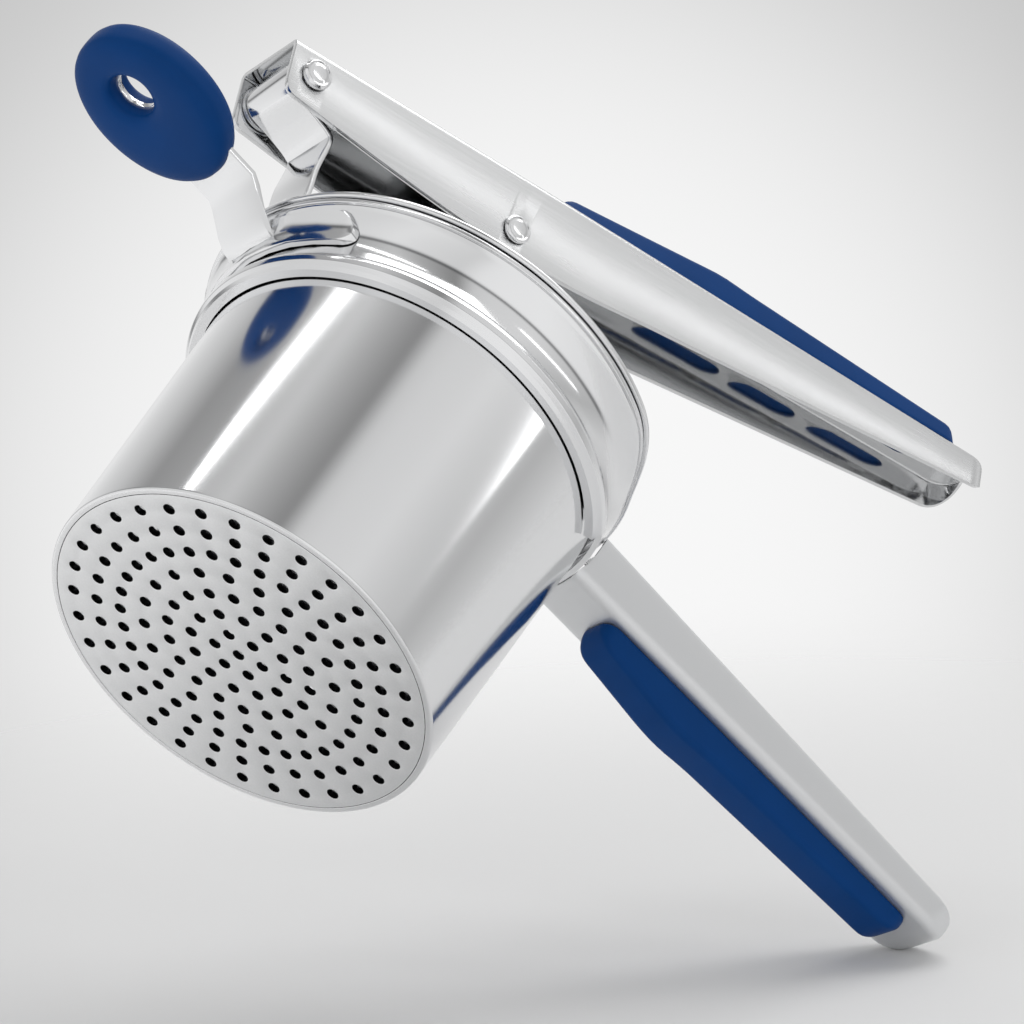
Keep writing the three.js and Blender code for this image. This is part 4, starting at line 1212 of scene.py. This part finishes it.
def studio_world():
    """Pale plain backdrop for the camera; soft panels of light and grey for the reflections."""
    world = bpy.data.worlds.new("studio")
    bpy.context.scene.world = world
    world.use_nodes = True
    tree = world.node_tree
    tree.nodes.clear()
    stage = bpy.context.scene.ricer_stage

    toward = node(tree, "ShaderNodeTexCoord").outputs["Generated"]
    split = node(tree, "ShaderNodeSeparateXYZ", {"Vector": toward}).outputs
    turn = math_node(tree, "ARCTAN2", split["Y"], split["X"])
    share = math_node(tree, "MULTIPLY_ADD", turn, 1 / (2 * math.pi),
                   1.5 - stage.bearing / (2 * math.pi))
    panels = node(tree, "ShaderNodeValToRGB", {"Fac": math_node(tree, "FRACT", share)})
    ramp = panels.color_ramp
    while len(ramp.elements) > 1:
        ramp.elements.remove(ramp.elements[0])
    for i, (position, value) in enumerate(PANEL_STOPS):
        element = ramp.elements[0] if i == 0 else ramp.elements.new(position)
        element.position = position
        element.color = (value, value, value, 1)

    below = eased_range(tree, split["Z"], 0.1, -0.12, 0, 0.55)
    soft = blend(tree, below, panels.outputs["Color"], (1.05, 1.05, 1.05, 1))
    height = math_node(tree, "ABSOLUTE", math_node(tree, "ADD", split["Z"], -HORIZON_HEIGHT))
    band = eased_range(tree, height, 0, 0.13, 0.72, 0)
    dark = blend(tree, band, soft, (0.03, 0.032, 0.035, 1))
    light = node(tree, "ShaderNodeBackground", {"Color": dark})

    forward = -direction(stage.bearing, stage.elevation)
    ahead = node(tree, "ShaderNodeVectorMath", {0: toward, 1: forward}, operation="DOT_PRODUCT")
    glow = eased_range(tree, ahead.outputs["Value"], 0.982, 1, 0.8, 1.3)
    plain = node(tree, "ShaderNodeBackground", {"Color": (*stage.backdrop, 1), "Strength": glow})
    seen = node(tree, "ShaderNodeLightPath").outputs["Is Camera Ray"]
    choose = node(tree, "ShaderNodeMixShader", {
        "Fac": seen, 1: light.outputs["Background"], 2: plain.outputs["Background"],
    })
    node(tree, "ShaderNodeOutputWorld", {"Surface": choose.outputs["Shader"]})


def floor_material():
    """Pale matte floor that fades out round its rim, and shows only from above."""
    material, tree = new_material("studio_floor")
    place = node(tree, "ShaderNodeTexCoord").outputs["Object"]
    reach = node(tree, "ShaderNodeVectorMath", {0: place}, operation="LENGTH")
    fade = eased_range(tree, reach.outputs["Value"], 0.12, 0.42, 1, 0)
    backfacing = node(tree, "ShaderNodeNewGeometry").outputs["Backfacing"]
    cover = math_node(tree, "MULTIPLY", fade, math_node(tree, "SUBTRACT", 1.0, backfacing))
    paint = node(tree, "ShaderNodeBsdfDiffuse", {"Color": (0.8, 0.8, 0.8, 1)})
    clear = node(tree, "ShaderNodeBsdfTransparent")
    mix = node(tree, "ShaderNodeMixShader",
               {"Fac": cover, 1: clear.outputs["BSDF"], 2: paint.outputs["BSDF"]})
    node(tree, "ShaderNodeOutputMaterial", {"Surface": mix.outputs["Shader"]})
    return material


class RICER_OT_stage(bpy.types.Operator):
    """Set the camera, the soft studio light and the pale floor"""

    bl_idname = "ricer.stage"
    bl_label = "Stage"

    def execute(self, context):
        scene = bpy.context.scene
        stage = scene.ricer_stage
        scene.view_settings.view_transform = "Standard"
        scene.view_settings.look = "None"

        data = bpy.data.cameras.new("camera")
        data.lens = stage.lens
        data.sensor_width = 36
        data.clip_end = 20
        camera = bpy.data.objects.new("camera", data)
        scene.collection.objects.link(camera)
        back = direction(stage.bearing, stage.elevation)
        right = Vector((-math.sin(stage.bearing), math.cos(stage.bearing), 0))
        up = back.cross(right)
        turned_right = right * math.cos(stage.roll) + up * math.sin(stage.roll)
        turned_up = back.cross(turned_right)
        turn = Matrix((turned_right, turned_up, back)).transposed()
        camera.matrix_world = Matrix.Translation(AIM + back * stage.distance) @ turn.to_4x4()
        scene.camera = camera

        studio_world()
        for card in LIGHT_CARDS:
            light_card(*card)

        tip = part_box("lower_handle")[1]
        normal = turned_up * math.cos(FLOOR_TILT) + back * math.sin(FLOOR_TILT)
        normal.normalize()
        spot = Vector((tip.x, 0, tip.z - 0.004)) - normal * FLOOR_DROP
        disc = bmesh.new()
        bmesh.ops.create_circle(disc, cap_ends=True, radius=FLOOR_RADIUS, segments=96)
        data = bpy.data.meshes.new("floor")
        disc.to_mesh(data)
        disc.free()
        data.materials.append(floor_material())
        floor = new_object("floor", data)
        floor.matrix_world = (Matrix.Translation(spot)
                              @ normal.to_track_quat("Z", "Y").to_matrix().to_4x4())
        return {"FINISHED"}


# ---- Panel and running -----------------------------------------------------------------------

OPERATORS = (
    RICER_OT_stage, RICER_OT_basket, RICER_OT_perforated_base, RICER_OT_ring,
    RICER_OT_lower_handle, RICER_OT_grips, RICER_OT_bracket, RICER_OT_rest_tab, RICER_OT_lever,
    RICER_OT_pins, RICER_OT_washers, RICER_OT_plunger,
)


class RICER_PT_panel(bpy.types.Panel):
    """Buttons for each piece, and the sizes and finishes they use"""

    bl_label = "Potato Ricer"
    bl_idname = "RICER_PT_panel"
    bl_space_type = "VIEW_3D"
    bl_region_type = "UI"
    bl_category = "Ricer"

    def draw(self, context):
        layout = self.layout
        for operator in OPERATORS:
            layout.operator(operator.bl_idname)
        for group in ("ricer_sizes", "ricer_colours", "ricer_stage"):
            values = getattr(context.scene, group)
            box = layout.box()
            for name in type(values).__annotations__:
                box.prop(values, name)


CLASSES = (RicerSizes, RicerColours, RicerStage, *OPERATORS, RICER_PT_panel)


def register():
    for cls in CLASSES:
        bpy.utils.register_class(cls)
    bpy.types.Scene.ricer_sizes = bpy.props.PointerProperty(type=RicerSizes)
    bpy.types.Scene.ricer_colours = bpy.props.PointerProperty(type=RicerColours)
    bpy.types.Scene.ricer_stage = bpy.props.PointerProperty(type=RicerStage)


def unregister():
    del bpy.types.Scene.ricer_stage
    del bpy.types.Scene.ricer_colours
    del bpy.types.Scene.ricer_sizes
    for cls in reversed(CLASSES):
        bpy.utils.unregister_class(cls)


def main():
    register()
    for operator in OPERATORS:
        group, name = operator.bl_idname.split(".")
        getattr(getattr(bpy.ops, group), name)()


if __name__ == "__main__":
    main()
